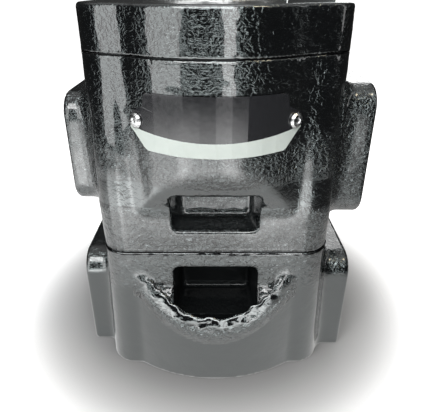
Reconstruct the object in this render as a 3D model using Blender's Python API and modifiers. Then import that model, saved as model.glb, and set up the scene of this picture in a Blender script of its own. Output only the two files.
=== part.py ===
"""Tandem hydraulic gear pump, standing on its rear face.

Two external gear sets share one drive line inside three iron castings: a front cover with the
mounting face, a main body with the large gear set, and a rear body with the small gear set.
The frame has its origin on the drive shaft's axis in the rear face, +Z towards the shaft's
splined end, -Y towards the nameplate and +X towards the inlet ports.
"""

import math
from collections import namedtuple

import bmesh
import bpy
from mathutils import Matrix, Vector

MM = 0.001

# Gaps
SEAT_GAP = 0.3 * MM
SLIP = 0.3 * MM

# Castings along the shaft
REAR_LENGTH = 73.5 * MM
MAIN_LENGTH = 93.8 * MM
COVER_THICKNESS = 19.3 * MM
MAIN_BOTTOM = REAR_LENGTH
MAIN_TOP = MAIN_BOTTOM + MAIN_LENGTH
COVER_TOP = MAIN_TOP + COVER_THICKNESS

# Castings in plan, as distances from the centre of the barrel
BARREL_Y = -22.3 * MM
LOBE_REACH = 75.0 * MM
LEDGE_DEPTH = 12.3 * MM
SHOULDER_DEPTH = 16.6 * MM
WAIST_REACH = LOBE_REACH - LEDGE_DEPTH
SHOULDER_REACH = LOBE_REACH - SHOULDER_DEPTH
MAIN_LOBE_RADIUS = 56.0 * MM
REAR_LOBE_RADIUS = 76.0 * MM
LOBE_FILLET = 5.0 * MM
REAR_BASE_HALF_WIDTH = 59.4 * MM
SEAM_HALF_WIDTH = 57.4 * MM
MAIN_HALF_WIDTH = 60.0 * MM
WAIST_CORNER = 14.0 * MM
SHOULDER_CORNER = 20.0 * MM
SEAM_ROUND = 0.8 * MM
COVER_ROUND = 2.3 * MM

# Half-moon ledges either side of the rear seam
MAIN_WAIST_HEIGHT = 24.2 * MM
MAIN_LEDGE_RISE = 16.5 * MM
REAR_WAIST_DEPTH = 23.2 * MM
REAR_LEDGE_FALL = 21.3 * MM
MAIN_RIM_ROUND = 4.0 * MM
REAR_RIM_ROUND = 3.6 * MM

# Cast pockets, as heights from the rear seam
MAIN_POCKET_LOW = 12.6 * MM
MAIN_POCKET_HIGH = 34.0 * MM
MAIN_POCKET_MOUTH_HALF_WIDTH = 21.0 * MM
MAIN_POCKET_BACK_HALF_WIDTH = 18.2 * MM
MAIN_POCKET_FRONT_DEPTH = 17.4 * MM
MAIN_POCKET_BACK_DEPTH = 12.0 * MM
REAR_POCKET_LOW = -39.9 * MM
REAR_POCKET_HIGH = -8.6 * MM
REAR_POCKET_MOUTH_HALF_WIDTH = 21.4 * MM
REAR_POCKET_BACK_HALF_WIDTH = 19.6 * MM
REAR_POCKET_FRONT_DEPTH = 27.4 * MM
REAR_POCKET_BACK_DEPTH = 16.0 * MM
POCKET_CORNER = 3.5 * MM

# Gears
TEETH = 12
PRESSURE_ANGLE = math.radians(25.0)
MAIN_CENTRES = 40.0 * MM
REAR_CENTRES = 32.0 * MM
MAIN_FACE_WIDTH = 34.0 * MM
REAR_FACE_WIDTH = 30.0 * MM
BACKLASH = 0.4 * MM
TIP_CLEARANCE = 0.3 * MM
ROOT_DEPTH_IN_MODULES = 1.2
ROOT_FILLET_TURN = 0.02

# Chamber floors
MAIN_WEB = 9.0 * MM
REAR_WALL = 7.0 * MM

# Shafts
MAIN_JOURNAL_RADIUS = 10.5 * MM
REAR_JOURNAL_RADIUS = 8.5 * MM
BUSH_WALL = 2.0 * MM
SPLINE_ROOT_SHARE = 0.30
SPLINE_TIP_SHARE = 0.17
SPLINE_TEETH = 11
SPLINE_RADIUS = 9.3 * MM
SPLINE_ROOT_RADIUS = 7.9 * MM
SPLINE_LENGTH = 22.0 * MM
SHAFT_STICKOUT = 32.0 * MM
QUILL_TEETH = 8
QUILL_RADIUS = 5.5 * MM
QUILL_ROOT_RADIUS = 4.4 * MM
QUILL_ENGAGEMENT = 14.0 * MM
SHAFT_CHAMFER = 1.0 * MM
NOSE_LAP = 5.0 * MM

# Mounting face
PILOT_RADIUS = 40.0 * MM
PILOT_HEIGHT = 6.4 * MM
MOUNT_HOLE_X = 47.0 * MM
MOUNT_HOLE_RADIUS = 5.1 * MM
MOUNT_HOLE_DEPTH = 14.0 * MM
LIP_SEAL_RADIUS = 17.5 * MM
LIP_SEAL_WIDTH = 8.0 * MM
LIP_THICKNESS = 2.0 * MM
RING_WIDTH = 3.0 * MM
RING_THICKNESS = 1.5 * MM
RING_GROOVE_DEPTH = 2.0 * MM
RING_RECESS = 1.0 * MM
RING_OPENING = math.radians(22.0)

# Tie screws, washers and dowels
SCREW_RADIUS = 6.0 * MM
SCREW_HEAD_RADIUS = 9.0 * MM
SCREW_HEAD_HEIGHT = 12.0 * MM
SCREW_SOCKET_RADIUS = 5.8 * MM
SCREW_SOCKET_DEPTH = 6.0 * MM
SCREW_HEAD_RECESS = 1.4 * MM
SCREW_ENGAGEMENT = 13.0 * MM
SCREW_CHAMFER = 1.0 * MM
SCREW_INSET_X = 13.4 * MM
SCREW_INSET_Y = 14.7 * MM
SCREW_X = SEAM_HALF_WIDTH - SCREW_INSET_X
SCREW_REACH_Y = WAIST_REACH - SCREW_INSET_Y
WASHER_THICKNESS = 2.5 * MM
DOWEL_RADIUS = 4.0 * MM
DOWEL_LENGTH = 16.0 * MM
DOWEL_CHAMFER = 0.6 * MM
DOWEL_FROM_SCREW_X = 4.0 * MM
DOWEL_FROM_SCREW_Y = 12.0 * MM
DOWEL_X = SCREW_X - DOWEL_FROM_SCREW_X
DOWEL_REACH_Y = SCREW_REACH_Y - DOWEL_FROM_SCREW_Y

# Joint seals
JOINT_SEAL_OFFSET = 3.0 * MM
JOINT_SEAL_WIDTH = 2.0 * MM
JOINT_SEAL_DEPTH = 1.8 * MM

# Port pads, as rises from the castings' sides, insets from the waist and ends along the shaft
MAIN_INLET_RISE = 14.8 * MM
MAIN_INLET_INSET = 16.0 * MM
MAIN_INLET_FROM_SEAM = 11.5 * MM
MAIN_INLET_FROM_TOP = 15.3 * MM
MAIN_OUTLET_RISE = 11.5 * MM
MAIN_OUTLET_INSET = 17.7 * MM
MAIN_OUTLET_FROM_SEAM = 18.5 * MM
MAIN_OUTLET_FROM_TOP = 19.3 * MM
MAIN_PAD_CORNER = 11.5 * MM
MAIN_PORT_FROM_SEAM = 46.5 * MM
REAR_INLET_RISE = 14.6 * MM
REAR_INLET_INSET = 14.7 * MM
REAR_INLET_FROM_SEAM = 13.7 * MM
REAR_OUTLET_RISE = 13.8 * MM
REAR_OUTLET_INSET = 19.7 * MM
REAR_OUTLET_FROM_SEAM = 14.5 * MM
REAR_PAD_CORNER = 12.0 * MM
REAR_PORT_HEIGHT = 32.0 * MM
PAD_FOOT_CORNER = 1.0 * MM
PAD_EDGE = 1.5 * MM
PAD_FILLET = 6.0 * MM
PAD_ROOT = 8.0 * MM
PORT_TAP_RADIUS = 4.25 * MM
PORT_TAP_DEPTH = 15.0 * MM
PORT_BREAK_IN = 3.0 * MM

# Port bores and the spacing of their four tapped holes
LARGE_BORE = 16.0 * MM
LARGE_SPACING_Y = 58.7 * MM
LARGE_SPACING_Z = 30.2 * MM
MIDDLE_BORE = 12.5 * MM
MIDDLE_SPACING_Y = 52.4 * MM
MIDDLE_SPACING_Z = 26.2 * MM
SMALL_BORE = 9.5 * MM
SMALL_SPACING_Y = 47.6 * MM
SMALL_SPACING_Z = 22.2 * MM

# Nameplate on the main lobe, as arc lengths and drops below the front seam
PLATE_THICKNESS = 0.6 * MM
PLATE_TOP_DROP = 13.6 * MM
PLATE_BOTTOM_DROP = 39.2 * MM
PLATE_BOTTOM_SAG = 1.2 * MM
PLATE_HALF_WIDTH = 31.0 * MM
PLATE_FOOT_HALF_WIDTH = 31.5 * MM
PLATE_CORNER = 2.0 * MM
PLATE_EAR_RADIUS = 4.6 * MM
PLATE_EAR_START = 1.1
PLATE_EAR_END = -0.2
PLATE_TIP_REACH = 39.2 * MM
PLATE_TIP_DROP = 29.0 * MM
RIVET_REACH = 35.6 * MM
RIVET_DROP = 25.6 * MM
RIVET_HEAD_RADIUS = 3.4 * MM
RIVET_HEAD_HEIGHT = 1.4 * MM
RIVET_SHANK_RADIUS = 1.6 * MM
RIVET_LENGTH = 6.0 * MM

# How far cutters run past the material that they open
OVERCUT = 1.0 * MM
WELD_DISTANCE = 0.05 * MM

# Parts of a face's normal that tell a ledge's slope and a lobe's side from the rest
SLOPE_LEAST = 0.2
SLOPE_MOST = 0.98
UPRIGHT = 0.05
SQUARE = 0.001

# Facets
EAR_STEP = 0.45
ARC_STEP = math.radians(8.0)
LOBE_STEPS = 4
LOBE_MARGIN = math.radians(3.0)
FILLET_STEPS = 2
CORNER_STEPS = 5
CORNER_LEAD = 0.25
RIM_STEPS = 2
RIM_END = 0.78
RIM_FADE = 0.45
SEAL_STEP = math.radians(22.5)
CHAMBER_STEP = math.radians(15.0)
SHAFT_STEPS = 20
BORE_STEPS = 20
PILOT_STEPS = 36
HOLE_STEPS = 10
TAP_STEPS = 6
RIVET_HOLE_STEPS = 8
HEAD_STEPS = 14
SOCKET_SIDES = 6
PLATE_STRIPS = 12
SMOOTH_ANGLE = math.radians(35.0)

BLACK_PAINT = ("black_paint", (0.012, 0.013, 0.014), 0.25, 0.0)
GROUND_STEEL = ("ground_steel", (0.55, 0.56, 0.57), 0.25, 1.0)
DARK_STEEL = ("dark_steel", (0.06, 0.06, 0.065), 0.45, 0.8)
BEARING_ALLOY = ("bearing_alloy", (0.66, 0.67, 0.68), 0.4, 1.0)
BUSH_BRONZE = ("bush_bronze", (0.55, 0.38, 0.2), 0.35, 1.0)
SEAL_RUBBER = ("seal_rubber", (0.02, 0.02, 0.02), 0.8, 0.0)
PLATE_ALLOY = ("plate_alloy", (0.75, 0.76, 0.75), 0.35, 1.0)


def clear_scene():
    for obj in list(bpy.data.objects):
        bpy.data.objects.remove(obj, do_unlink=True)


def new_collection(name):
    collection = bpy.data.collections.new(name)
    bpy.context.scene.collection.children.link(collection)
    return collection


clear_scene()
PARTS = new_collection("hydraulic_pump")
CUTTERS = new_collection("hydraulic_pump_cutters")


def material(spec):
    """The Principled material of a finish, made on first use."""
    name, colour, roughness, metallic = spec
    found = bpy.data.materials.get(name)
    if found:
        return found
    made = bpy.data.materials.new(name)
    made.use_nodes = True
    shader = made.node_tree.nodes["Principled BSDF"]
    shader.inputs["Base Color"].default_value = (*colour, 1.0)
    shader.inputs["Roughness"].default_value = roughness
    shader.inputs["Metallic"].default_value = metallic
    return made


def add_object(name, mesh):
    obj = bpy.data.objects.new(name, mesh)
    CUTTERS.objects.link(obj)
    obj.hide_render = True
    obj.display_type = "WIRE"
    return obj


def dress(obj, spec):
    """Gives an object its finish and smooth shading."""
    obj.data.materials.clear()
    obj.data.materials.append(material(spec))
    obj.data.shade_smooth()
    obj.data.set_sharp_from_angle(angle=SMOOTH_ANGLE)


def finish_part(obj, spec):
    """Moves an object from the cutters to the parts and dresses it."""
    freeze(obj)
    merge_flat_faces(obj)
    CUTTERS.objects.unlink(obj)
    PARTS.objects.link(obj)
    obj.hide_render = False
    obj.display_type = "TEXTURED"
    dress(obj, spec)
    return obj


def freeze(obj):
    """Applies the modifiers of an object and keeps the mesh that they make."""
    graph = bpy.context.evaluated_depsgraph_get()
    baked = bpy.data.meshes.new_from_object(obj.evaluated_get(graph))
    obj.modifiers.clear()
    obj.data = baked
    baked.name = obj.name


def merge_flat_faces(obj):
    """Merges the coplanar triangles that cutting and joining leave behind."""
    work = bmesh.new()
    work.from_mesh(obj.data)
    bmesh.ops.dissolve_limit(
        work, angle_limit=math.radians(0.05), verts=work.verts, edges=work.edges
    )
    work.to_mesh(obj.data)
    work.free()


def weld(obj):
    """Joins the points that a cut or a bevel leaves almost on top of one another."""
    work = bmesh.new()
    work.from_mesh(obj.data)
    bmesh.ops.remove_doubles(work, verts=work.verts, dist=WELD_DISTANCE)
    bmesh.ops.dissolve_degenerate(work, dist=WELD_DISTANCE, edges=work.edges)
    work.to_mesh(obj.data)
    work.free()


def boolean(obj, other, operation):
    modifier = obj.modifiers.new(f"{operation.lower()}_{other.name}", "BOOLEAN")
    modifier.object = other
    modifier.operation = operation
    modifier.solver = "EXACT"


def cut(obj, *others):
    for other in others:
        boolean(obj, other, "DIFFERENCE")


def join(obj, *others):
    for other in others:
        boolean(obj, other, "UNION")


def place(obj, axis, location):
    """Turns an object's +Z to the X, Y or Z axis and moves it to a location."""
    turns = {
        "Z": Matrix.Identity(4),
        "X": Matrix(((0, 0, 1, 0), (1, 0, 0, 0), (0, 1, 0, 0), (0, 0, 0, 1))),
        "Y": Matrix(((0, 1, 0, 0), (0, 0, 1, 0), (1, 0, 0, 0), (0, 0, 0, 1))),
    }
    obj.data.transform(Matrix.Translation(Vector(location)) @ turns[axis])
    obj.data.update()
    return obj


def arc(centre, radius, start, end, step=ARC_STEP):
    """Points along an arc from one angle to another, both ends included."""
    count = max(1, math.ceil(abs(end - start) / step - 1e-6))
    angles = [start + (end - start) * index / count for index in range(count + 1)]
    return [
        (centre[0] + radius * math.cos(angle), centre[1] + radius * math.sin(angle))
        for angle in angles
    ]


def moved(outline, dx, dy):
    return [(x + dx, y + dy) for x, y in outline]


def shared_arc(centre, radius, start, end, count):
    """An arc in a set number of steps, for outlines that a loft joins."""
    return arc(centre, radius, start, end, abs(end - start) / count)


def extrusion(name, outlines, low, high):
    """A solid between two heights, from a 2D curve with its outer outline and any holes."""
    curve = bpy.data.curves.new(name, "CURVE")
    curve.dimensions = "2D"
    curve.fill_mode = "BOTH"
    curve.extrude = (high - low) / 2
    for outline in outlines:
        spline = curve.splines.new("POLY")
        spline.points.add(len(outline) - 1)
        spline.use_cyclic_u = True
        for point, (x, y) in zip(spline.points, outline):
            point.co = (x, y, 0.0, 1.0)
    source = bpy.data.objects.new(name, curve)
    CUTTERS.objects.link(source)
    graph = bpy.context.evaluated_depsgraph_get()
    mesh = bpy.data.meshes.new_from_object(source.evaluated_get(graph))
    bpy.data.objects.remove(source)
    bpy.data.curves.remove(curve)
    work = bmesh.new()
    work.from_mesh(mesh)
    bmesh.ops.remove_doubles(work, verts=work.verts, dist=1e-6)
    bmesh.ops.recalc_face_normals(work, faces=work.faces)
    bmesh.ops.translate(work, verts=work.verts, vec=(0.0, 0.0, (low + high) / 2))
    work.to_mesh(mesh)
    work.free()
    return add_object(name, mesh)


def loft(name, sections):
    """A solid through like-numbered outlines, each with its height, closed by flat ends."""
    work = bmesh.new()
    rings = [[work.verts.new((x, y, height)) for x, y in outline] for outline, height in sections]
    for lower, upper in zip(rings, rings[1:]):
        for index in range(len(lower)):
            after = (index + 1) % len(lower)
            work.faces.new((lower[index], lower[after], upper[after], upper[index]))
    work.faces.new(list(reversed(rings[0])))
    work.faces.new(rings[-1])
    bmesh.ops.recalc_face_normals(work, faces=work.faces)
    mesh = bpy.data.meshes.new(name)
    work.to_mesh(mesh)
    work.free()
    return add_object(name, mesh)


def turned(name, profile, steps=SHAFT_STEPS):
    """A body of revolution about Z from (radius, height) points that run down its outer side."""
    mesh = bpy.data.meshes.new(name)
    points = [(radius, 0.0, height) for radius, height in profile]
    closed = profile[0][0] > 0
    edges = [(index, index + 1) for index in range(len(points) - 1)]
    if closed:
        edges.append((len(points) - 1, 0))
    mesh.from_pydata(points, edges, [])
    obj = add_object(name, mesh)
    screw = obj.modifiers.new("turn", "SCREW")
    screw.angle = math.tau
    screw.steps = steps
    screw.render_steps = steps
    screw.use_merge_vertices = True
    screw.merge_threshold = 1e-6
    freeze(obj)
    return obj


def cylinder(name, radius, low, high, steps=BORE_STEPS):
    bpy.ops.mesh.primitive_cylinder_add(vertices=steps, radius=radius, depth=high - low)
    obj = bpy.context.object
    for collection in list(obj.users_collection):
        collection.objects.unlink(obj)
    mesh = obj.data
    bpy.data.objects.remove(obj)
    mesh.name = name
    mesh.transform(Matrix.Translation((0.0, 0.0, (low + high) / 2)))
    return add_object(name, mesh)


def copy_of(obj, name, location):
    """Another object on the same mesh, at its own location."""
    twin = bpy.data.objects.new(name, obj.data)
    twin.location = location
    PARTS.objects.link(twin)
    return twin


# Outlines


def four_fold(quadrant):
    """A closed outline from a quadrant that runs from the Y axis round to the X side."""
    right = quadrant + [(x, -y) for x, y in reversed(quadrant)]
    left = [(-x, y) for x, y in reversed(right[1:-1])]
    return list(reversed(right + left))


def outer_crossing(first, first_radius, second, second_radius):
    """Where two circles cross, on the left of the way from the first centre to the second."""
    dx = second[0] - first[0]
    dy = second[1] - first[1]
    apart = math.hypot(dx, dy)
    near = (apart**2 + first_radius**2 - second_radius**2) / (2 * apart)
    off = math.sqrt(first_radius**2 - near**2)
    return (first[0] + (near * dx - off * dy) / apart, first[1] + (near * dy + off * dx) / apart)


def casting_outline(half_width, reach, corner, lobe_radius, inset=0.0):
    """Four corner columns joined by a round lobe front and back, drawn in by an inset.

    The lobe keeps the same facets at every height, so they stand upright and flat.
    """
    lobe_centre = (0.0, LOBE_REACH - lobe_radius)
    corner_centre = (half_width - corner, reach - corner)
    lobe = lobe_radius - inset
    round_corner = corner - inset
    fillet = LOBE_FILLET + inset
    rise = reach - inset + fillet - lobe_centre[1]
    fillet_centre = (math.sqrt((lobe + fillet) ** 2 - rise**2), rise + lobe_centre[1])
    corner_start = math.pi / 2
    if fillet_centre[0] > corner_centre[0] - OVERCUT:
        fillet_centre = outer_crossing(
            lobe_centre, lobe + fillet, corner_centre, round_corner + fillet
        )
        corner_start = math.atan2(
            fillet_centre[1] - corner_centre[1], fillet_centre[0] - corner_centre[0]
        )
    lobe_end = math.atan2(fillet_centre[1] - lobe_centre[1], fillet_centre[0] - lobe_centre[0])
    waist_rise = WAIST_REACH + LOBE_FILLET - lobe_centre[1]
    steady_end = math.asin(waist_rise / (lobe_radius + LOBE_FILLET)) + LOBE_MARGIN
    quadrant = shared_arc(lobe_centre, lobe, math.pi / 2, steady_end, LOBE_STEPS)
    quadrant += shared_arc(
        fillet_centre, fillet, lobe_end + math.pi, corner_start + math.pi, FILLET_STEPS
    )
    first_corner = corner_start * (1 - CORNER_LEAD / CORNER_STEPS)
    quadrant += shared_arc(corner_centre, round_corner, first_corner, 0.0, CORNER_STEPS)
    return moved(four_fold(quadrant), 0.0, BARREL_Y)


def figure_eight(radius, centres, step=CHAMBER_STEP):
    """The outline of two equal bores that run into each other along Y, the first at the origin."""
    meet = math.asin(centres / 2 / radius)
    upper = arc((0.0, 0.0), radius, -meet, math.pi + meet, step)
    lower = arc((0.0, -centres), radius, math.pi - meet, math.tau + meet, step)
    return upper + lower[1:-1]


def rounded_box(x_low, x_high, y_low, y_high, low_corner, high_corner, step=math.radians(30.0)):
    """A rectangle with one radius on its two lower corners and another on its two upper ones."""
    return (
        arc((x_high - low_corner, y_low + low_corner), low_corner, -math.pi / 2, 0.0, step)
        + arc((x_high - high_corner, y_high - high_corner), high_corner, 0.0, math.pi / 2, step)
        + arc((x_low + high_corner, y_high - high_corner), high_corner, math.pi / 2, math.pi, step)
        + arc((x_low + low_corner, y_low + low_corner), low_corner, math.pi, 1.5 * math.pi, step)
    )


def involute(angle):
    return math.tan(angle) - angle


def gear_outline(centres, phase):
    """An involute spur gear whose pitch circle is half the centre distance."""
    pitch = centres / 2
    module = centres / TEETH
    base = pitch * math.cos(PRESSURE_ANGLE)
    tip = pitch + module
    root = pitch - ROOT_DEPTH_IN_MODULES * module
    half_tooth = math.pi / 2 / TEETH - BACKLASH / 4 / pitch

    def half_angle(radius):
        at = math.acos(min(1.0, base / radius))
        return half_tooth + involute(PRESSURE_ANGLE) - involute(at)

    radii = [base + (tip - base) * share for share in (0.0, 0.5, 1.0)]
    flank = [(root, half_angle(base) + ROOT_FILLET_TURN)]
    flank += [(radius, half_angle(radius)) for radius in radii]
    points = []
    for tooth in range(TEETH):
        middle = phase + math.tau * tooth / TEETH
        for radius, half in flank:
            points.append((radius * math.cos(middle - half), radius * math.sin(middle - half)))
        for radius, half in reversed(flank):
            points.append((radius * math.cos(middle + half), radius * math.sin(middle + half)))
    return points


def spline_outline(teeth, radius, root, grow=0.0):
    """A straight-sided spline, or its socket when grown by a clearance."""
    points = []
    share = math.tau / teeth
    for tooth in range(teeth):
        middle = share * tooth
        for reach, half in ((root, SPLINE_ROOT_SHARE), (radius, SPLINE_TIP_SHARE)):
            turn = middle - half * share - grow / reach
            points.append(((reach + grow) * math.cos(turn), (reach + grow) * math.sin(turn)))
        for reach, half in ((radius, SPLINE_TIP_SHARE), (root, SPLINE_ROOT_SHARE)):
            turn = middle + half * share + grow / reach
            points.append(((reach + grow) * math.cos(turn), (reach + grow) * math.sin(turn)))
    return points


# Gear sets

GearSet = namedtuple("GearSet", "name centres face_width journal floor top bore")


def gear_set(name, centres, face_width, journal, floor, top):
    tip = centres / 2 + centres / TEETH
    return GearSet(name, centres, face_width, journal, floor, top, tip + TIP_CLEARANCE)


MAIN_SET = gear_set(
    "main", MAIN_CENTRES, MAIN_FACE_WIDTH, MAIN_JOURNAL_RADIUS, MAIN_BOTTOM + MAIN_WEB, MAIN_TOP
)
REAR_SET = gear_set(
    "rear", REAR_CENTRES, REAR_FACE_WIDTH, REAR_JOURNAL_RADIUS, REAR_WALL, REAR_LENGTH
)


def block_length(gears):
    return (gears.top - gears.floor - gears.face_width - 4 * SEAT_GAP) / 2


def gear_low(gears):
    return gears.floor + block_length(gears) + 2 * SEAT_GAP


def gear_high(gears):
    return gear_low(gears) + gears.face_width


def journal_low(gears):
    return gears.floor + 2 * SEAT_GAP


def journal_high(gears):
    return gears.top - 2 * SEAT_GAP


# Pockets and ports of the two bodies

Pocket = namedtuple("Pocket", "low high mouth_half_width back_half_width front_depth back_depth")
MAIN_POCKET = Pocket(
    MAIN_POCKET_LOW, MAIN_POCKET_HIGH, MAIN_POCKET_MOUTH_HALF_WIDTH,
    MAIN_POCKET_BACK_HALF_WIDTH, MAIN_POCKET_FRONT_DEPTH, MAIN_POCKET_BACK_DEPTH,
)
REAR_POCKET = Pocket(
    REAR_POCKET_LOW, REAR_POCKET_HIGH, REAR_POCKET_MOUTH_HALF_WIDTH,
    REAR_POCKET_BACK_HALF_WIDTH, REAR_POCKET_FRONT_DEPTH, REAR_POCKET_BACK_DEPTH,
)
Flange = namedtuple("Flange", "bore spacing_y spacing_z")
LARGE_FLANGE = Flange(LARGE_BORE, LARGE_SPACING_Y, LARGE_SPACING_Z)
MIDDLE_FLANGE = Flange(MIDDLE_BORE, MIDDLE_SPACING_Y, MIDDLE_SPACING_Z)
SMALL_FLANGE = Flange(SMALL_BORE, SMALL_SPACING_Y, SMALL_SPACING_Z)
Port = namedtuple("Port", "name side face reach low high corner centre flange")
MAIN_PORTS = (
    Port(
        "main_inlet", 1, MAIN_HALF_WIDTH + MAIN_INLET_RISE, WAIST_REACH - MAIN_INLET_INSET,
        MAIN_BOTTOM + MAIN_INLET_FROM_SEAM, MAIN_TOP - MAIN_INLET_FROM_TOP, MAIN_PAD_CORNER,
        MAIN_BOTTOM + MAIN_PORT_FROM_SEAM, LARGE_FLANGE,
    ),
    Port(
        "main_outlet", -1, MAIN_HALF_WIDTH + MAIN_OUTLET_RISE, WAIST_REACH - MAIN_OUTLET_INSET,
        MAIN_BOTTOM + MAIN_OUTLET_FROM_SEAM, MAIN_TOP - MAIN_OUTLET_FROM_TOP, MAIN_PAD_CORNER,
        MAIN_BOTTOM + MAIN_PORT_FROM_SEAM, MIDDLE_FLANGE,
    ),
)
REAR_PORTS = (
    Port(
        "rear_inlet", 1, REAR_BASE_HALF_WIDTH + REAR_INLET_RISE, WAIST_REACH - REAR_INLET_INSET,
        0.0, REAR_LENGTH - REAR_INLET_FROM_SEAM, REAR_PAD_CORNER, REAR_PORT_HEIGHT,
        MIDDLE_FLANGE,
    ),
    Port(
        "rear_outlet", -1, REAR_BASE_HALF_WIDTH + REAR_OUTLET_RISE,
        WAIST_REACH - REAR_OUTLET_INSET, 0.0, REAR_LENGTH - REAR_OUTLET_FROM_SEAM,
        REAR_PAD_CORNER, REAR_PORT_HEIGHT, SMALL_FLANGE,
    ),
)


# Cutters that more than one casting needs


def ledge_cutter(name, side, waist, slope_end, far):
    """The wedge that leaves a flat waist and a half-moon ledge on the front or back lobe."""
    reach_far = 2 * LOBE_REACH - WAIST_REACH
    rise = (slope_end - waist) * (reach_far - WAIST_REACH) / LEDGE_DEPTH
    profile = [
        (WAIST_REACH, far),
        (WAIST_REACH, waist),
        (reach_far, waist + rise),
        (reach_far, far),
    ]
    outline = [(BARREL_Y + side * reach, height) for reach, height in profile]
    wedge = extrusion(name, [outline], -MAIN_HALF_WIDTH, MAIN_HALF_WIDTH)
    return place(wedge, "X", (0.0, 0.0, 0.0))


def round_rims(obj, radius):
    """Rounds the rims between the sloping ledges and their lobes, fading out to both ends."""
    freeze(obj)
    weld(obj)
    merge_flat_faces(obj)
    work = bmesh.new()
    work.from_mesh(obj.data)
    weight = work.edges.layers.float.new("bevel_weight_edge")
    rims = []
    for edge in work.edges:
        slope, side = sorted(edge.link_faces, key=lambda face: abs(face.normal.x))
        sloping = SLOPE_LEAST < abs(slope.normal.z) < SLOPE_MOST
        square = abs(slope.normal.x) < SQUARE < abs(side.normal.x)
        if sloping and square and abs(side.normal.z) < UPRIGHT:
            rims.append(edge)
    end = max(abs(vert.co.x) for edge in rims for vert in edge.verts)
    for edge in rims:
        middle = abs(edge.verts[0].co.x + edge.verts[1].co.x) / 2
        edge[weight] = min(1.0, max(0.0, (RIM_END - middle / end) / RIM_FADE))
    work.to_mesh(obj.data)
    work.free()
    modifier = obj.modifiers.new("rim", "BEVEL")
    modifier.width = radius
    modifier.segments = RIM_STEPS
    modifier.limit_method = "WEIGHT"
    modifier.use_clamp_overlap = False
    freeze(obj)
    weld(obj)


def pocket_cutter(name, pocket, side):
    """A drafted pocket from outside the lobe to its back wall."""
    depth = pocket.front_depth if side < 0 else pocket.back_depth
    outside = LEDGE_DEPTH + OVERCUT
    draft = (pocket.mouth_half_width - pocket.back_half_width) / depth

    def section(distance):
        half = pocket.mouth_half_width + draft * distance
        low = REAR_LENGTH + pocket.low
        high = REAR_LENGTH + pocket.high
        box = rounded_box(-half, half, low, high, POCKET_CORNER, POCKET_CORNER)
        return [(height, x) for x, height in box]

    wall = BARREL_Y + side * (WAIST_REACH - depth)
    mouth = BARREL_Y + side * (WAIST_REACH + outside)
    sections = [(section(-depth), wall), (section(outside), mouth)]
    obj = loft(name, sections if side > 0 else sections[::-1])
    return place(obj, "Y", (0.0, 0.0, 0.0))


def chamber_cutter(gears):
    outline = figure_eight(gears.bore, gears.centres)
    return extrusion(f"{gears.name}_chamber", [outline], gears.floor, gears.top + OVERCUT)


def seal_ring(name, gears, low, high, shrink=0.0):
    """The figure-eight ring round a chamber, as its groove or, shrunk, as its seal."""
    inner = gears.bore + JOINT_SEAL_OFFSET + shrink
    outer = gears.bore + JOINT_SEAL_OFFSET + JOINT_SEAL_WIDTH - shrink
    outlines = [figure_eight(radius, gears.centres, SEAL_STEP) for radius in (outer, inner)]
    return extrusion(name, outlines, low, high)


def screw_places():
    return [
        (x, BARREL_Y + y) for x in (-SCREW_X, SCREW_X) for y in (-SCREW_REACH_Y, SCREW_REACH_Y)
    ]


def dowel_places():
    return [(-DOWEL_X, BARREL_Y - DOWEL_REACH_Y), (DOWEL_X, BARREL_Y + DOWEL_REACH_Y)]


def holes(name, places, radius, low, high, steps=HOLE_STEPS):
    """One cutter for each upright hole of a pattern."""
    cutters = []
    for index, (x, y) in enumerate(places):
        hole = cylinder(f"{name}_{index + 1}", radius, low, high, steps)
        cutters.append(place(hole, "Z", (x, y, 0.0)))
    return cutters


def pad_outline(port, grow):
    """A port pad's outline in Y and Z; a pad that reaches the base stays flat there."""
    on_base = port.low <= 0.0
    return rounded_box(
        BARREL_Y - port.reach - grow,
        BARREL_Y + port.reach + grow,
        port.low if on_base else port.low - grow,
        port.high + grow,
        PAD_FOOT_CORNER if on_base else port.corner + grow,
        port.corner + grow,
    )


def port_pad(port):
    """A raised pad with a fillet into the casting's side and a rounded rim."""
    levels = [
        (SEAM_HALF_WIDTH - PAD_ROOT, PAD_FILLET),
        (SEAM_HALF_WIDTH - SEAM_ROUND, PAD_FILLET),
        (SEAM_HALF_WIDTH + 0.2 * PAD_FILLET, 0.4 * PAD_FILLET),
        (SEAM_HALF_WIDTH + 0.9 * PAD_FILLET, 0.0),
        (port.face - PAD_EDGE, 0.0),
        (port.face, -PAD_EDGE),
    ]
    sections = [(pad_outline(port, grow), port.side * distance) for distance, grow in levels]
    pad = loft(f"{port.name}_pad", sections if port.side > 0 else sections[::-1])
    return place(pad, "X", (0.0, 0.0, 0.0))


def port_cutters(port, gears):
    """The port's bore into the chamber and the four tapped holes round it."""
    middle = -gears.centres / 2
    inner = math.sqrt(gears.bore**2 - middle**2) - PORT_BREAK_IN
    outer = port.face + OVERCUT
    ends = sorted((port.side * inner, port.side * outer))
    bore = cylinder(f"{port.name}_bore", port.flange.bore, ends[0], ends[1])
    cutters = [place(bore, "X", (0.0, middle, port.centre))]
    ends = sorted((port.side * (port.face - PORT_TAP_DEPTH), port.side * outer))
    for along in (-0.5, 0.5):
        for up in (-0.5, 0.5):
            name = f"{port.name}_tap_{len(cutters)}"
            tap = cylinder(name, PORT_TAP_RADIUS, ends[0], ends[1], TAP_STEPS)
            y = middle + along * port.flange.spacing_y
            z = port.centre + up * port.flange.spacing_z
            cutters.append(place(tap, "X", (0.0, y, z)))
    return cutters


# Castings


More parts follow.
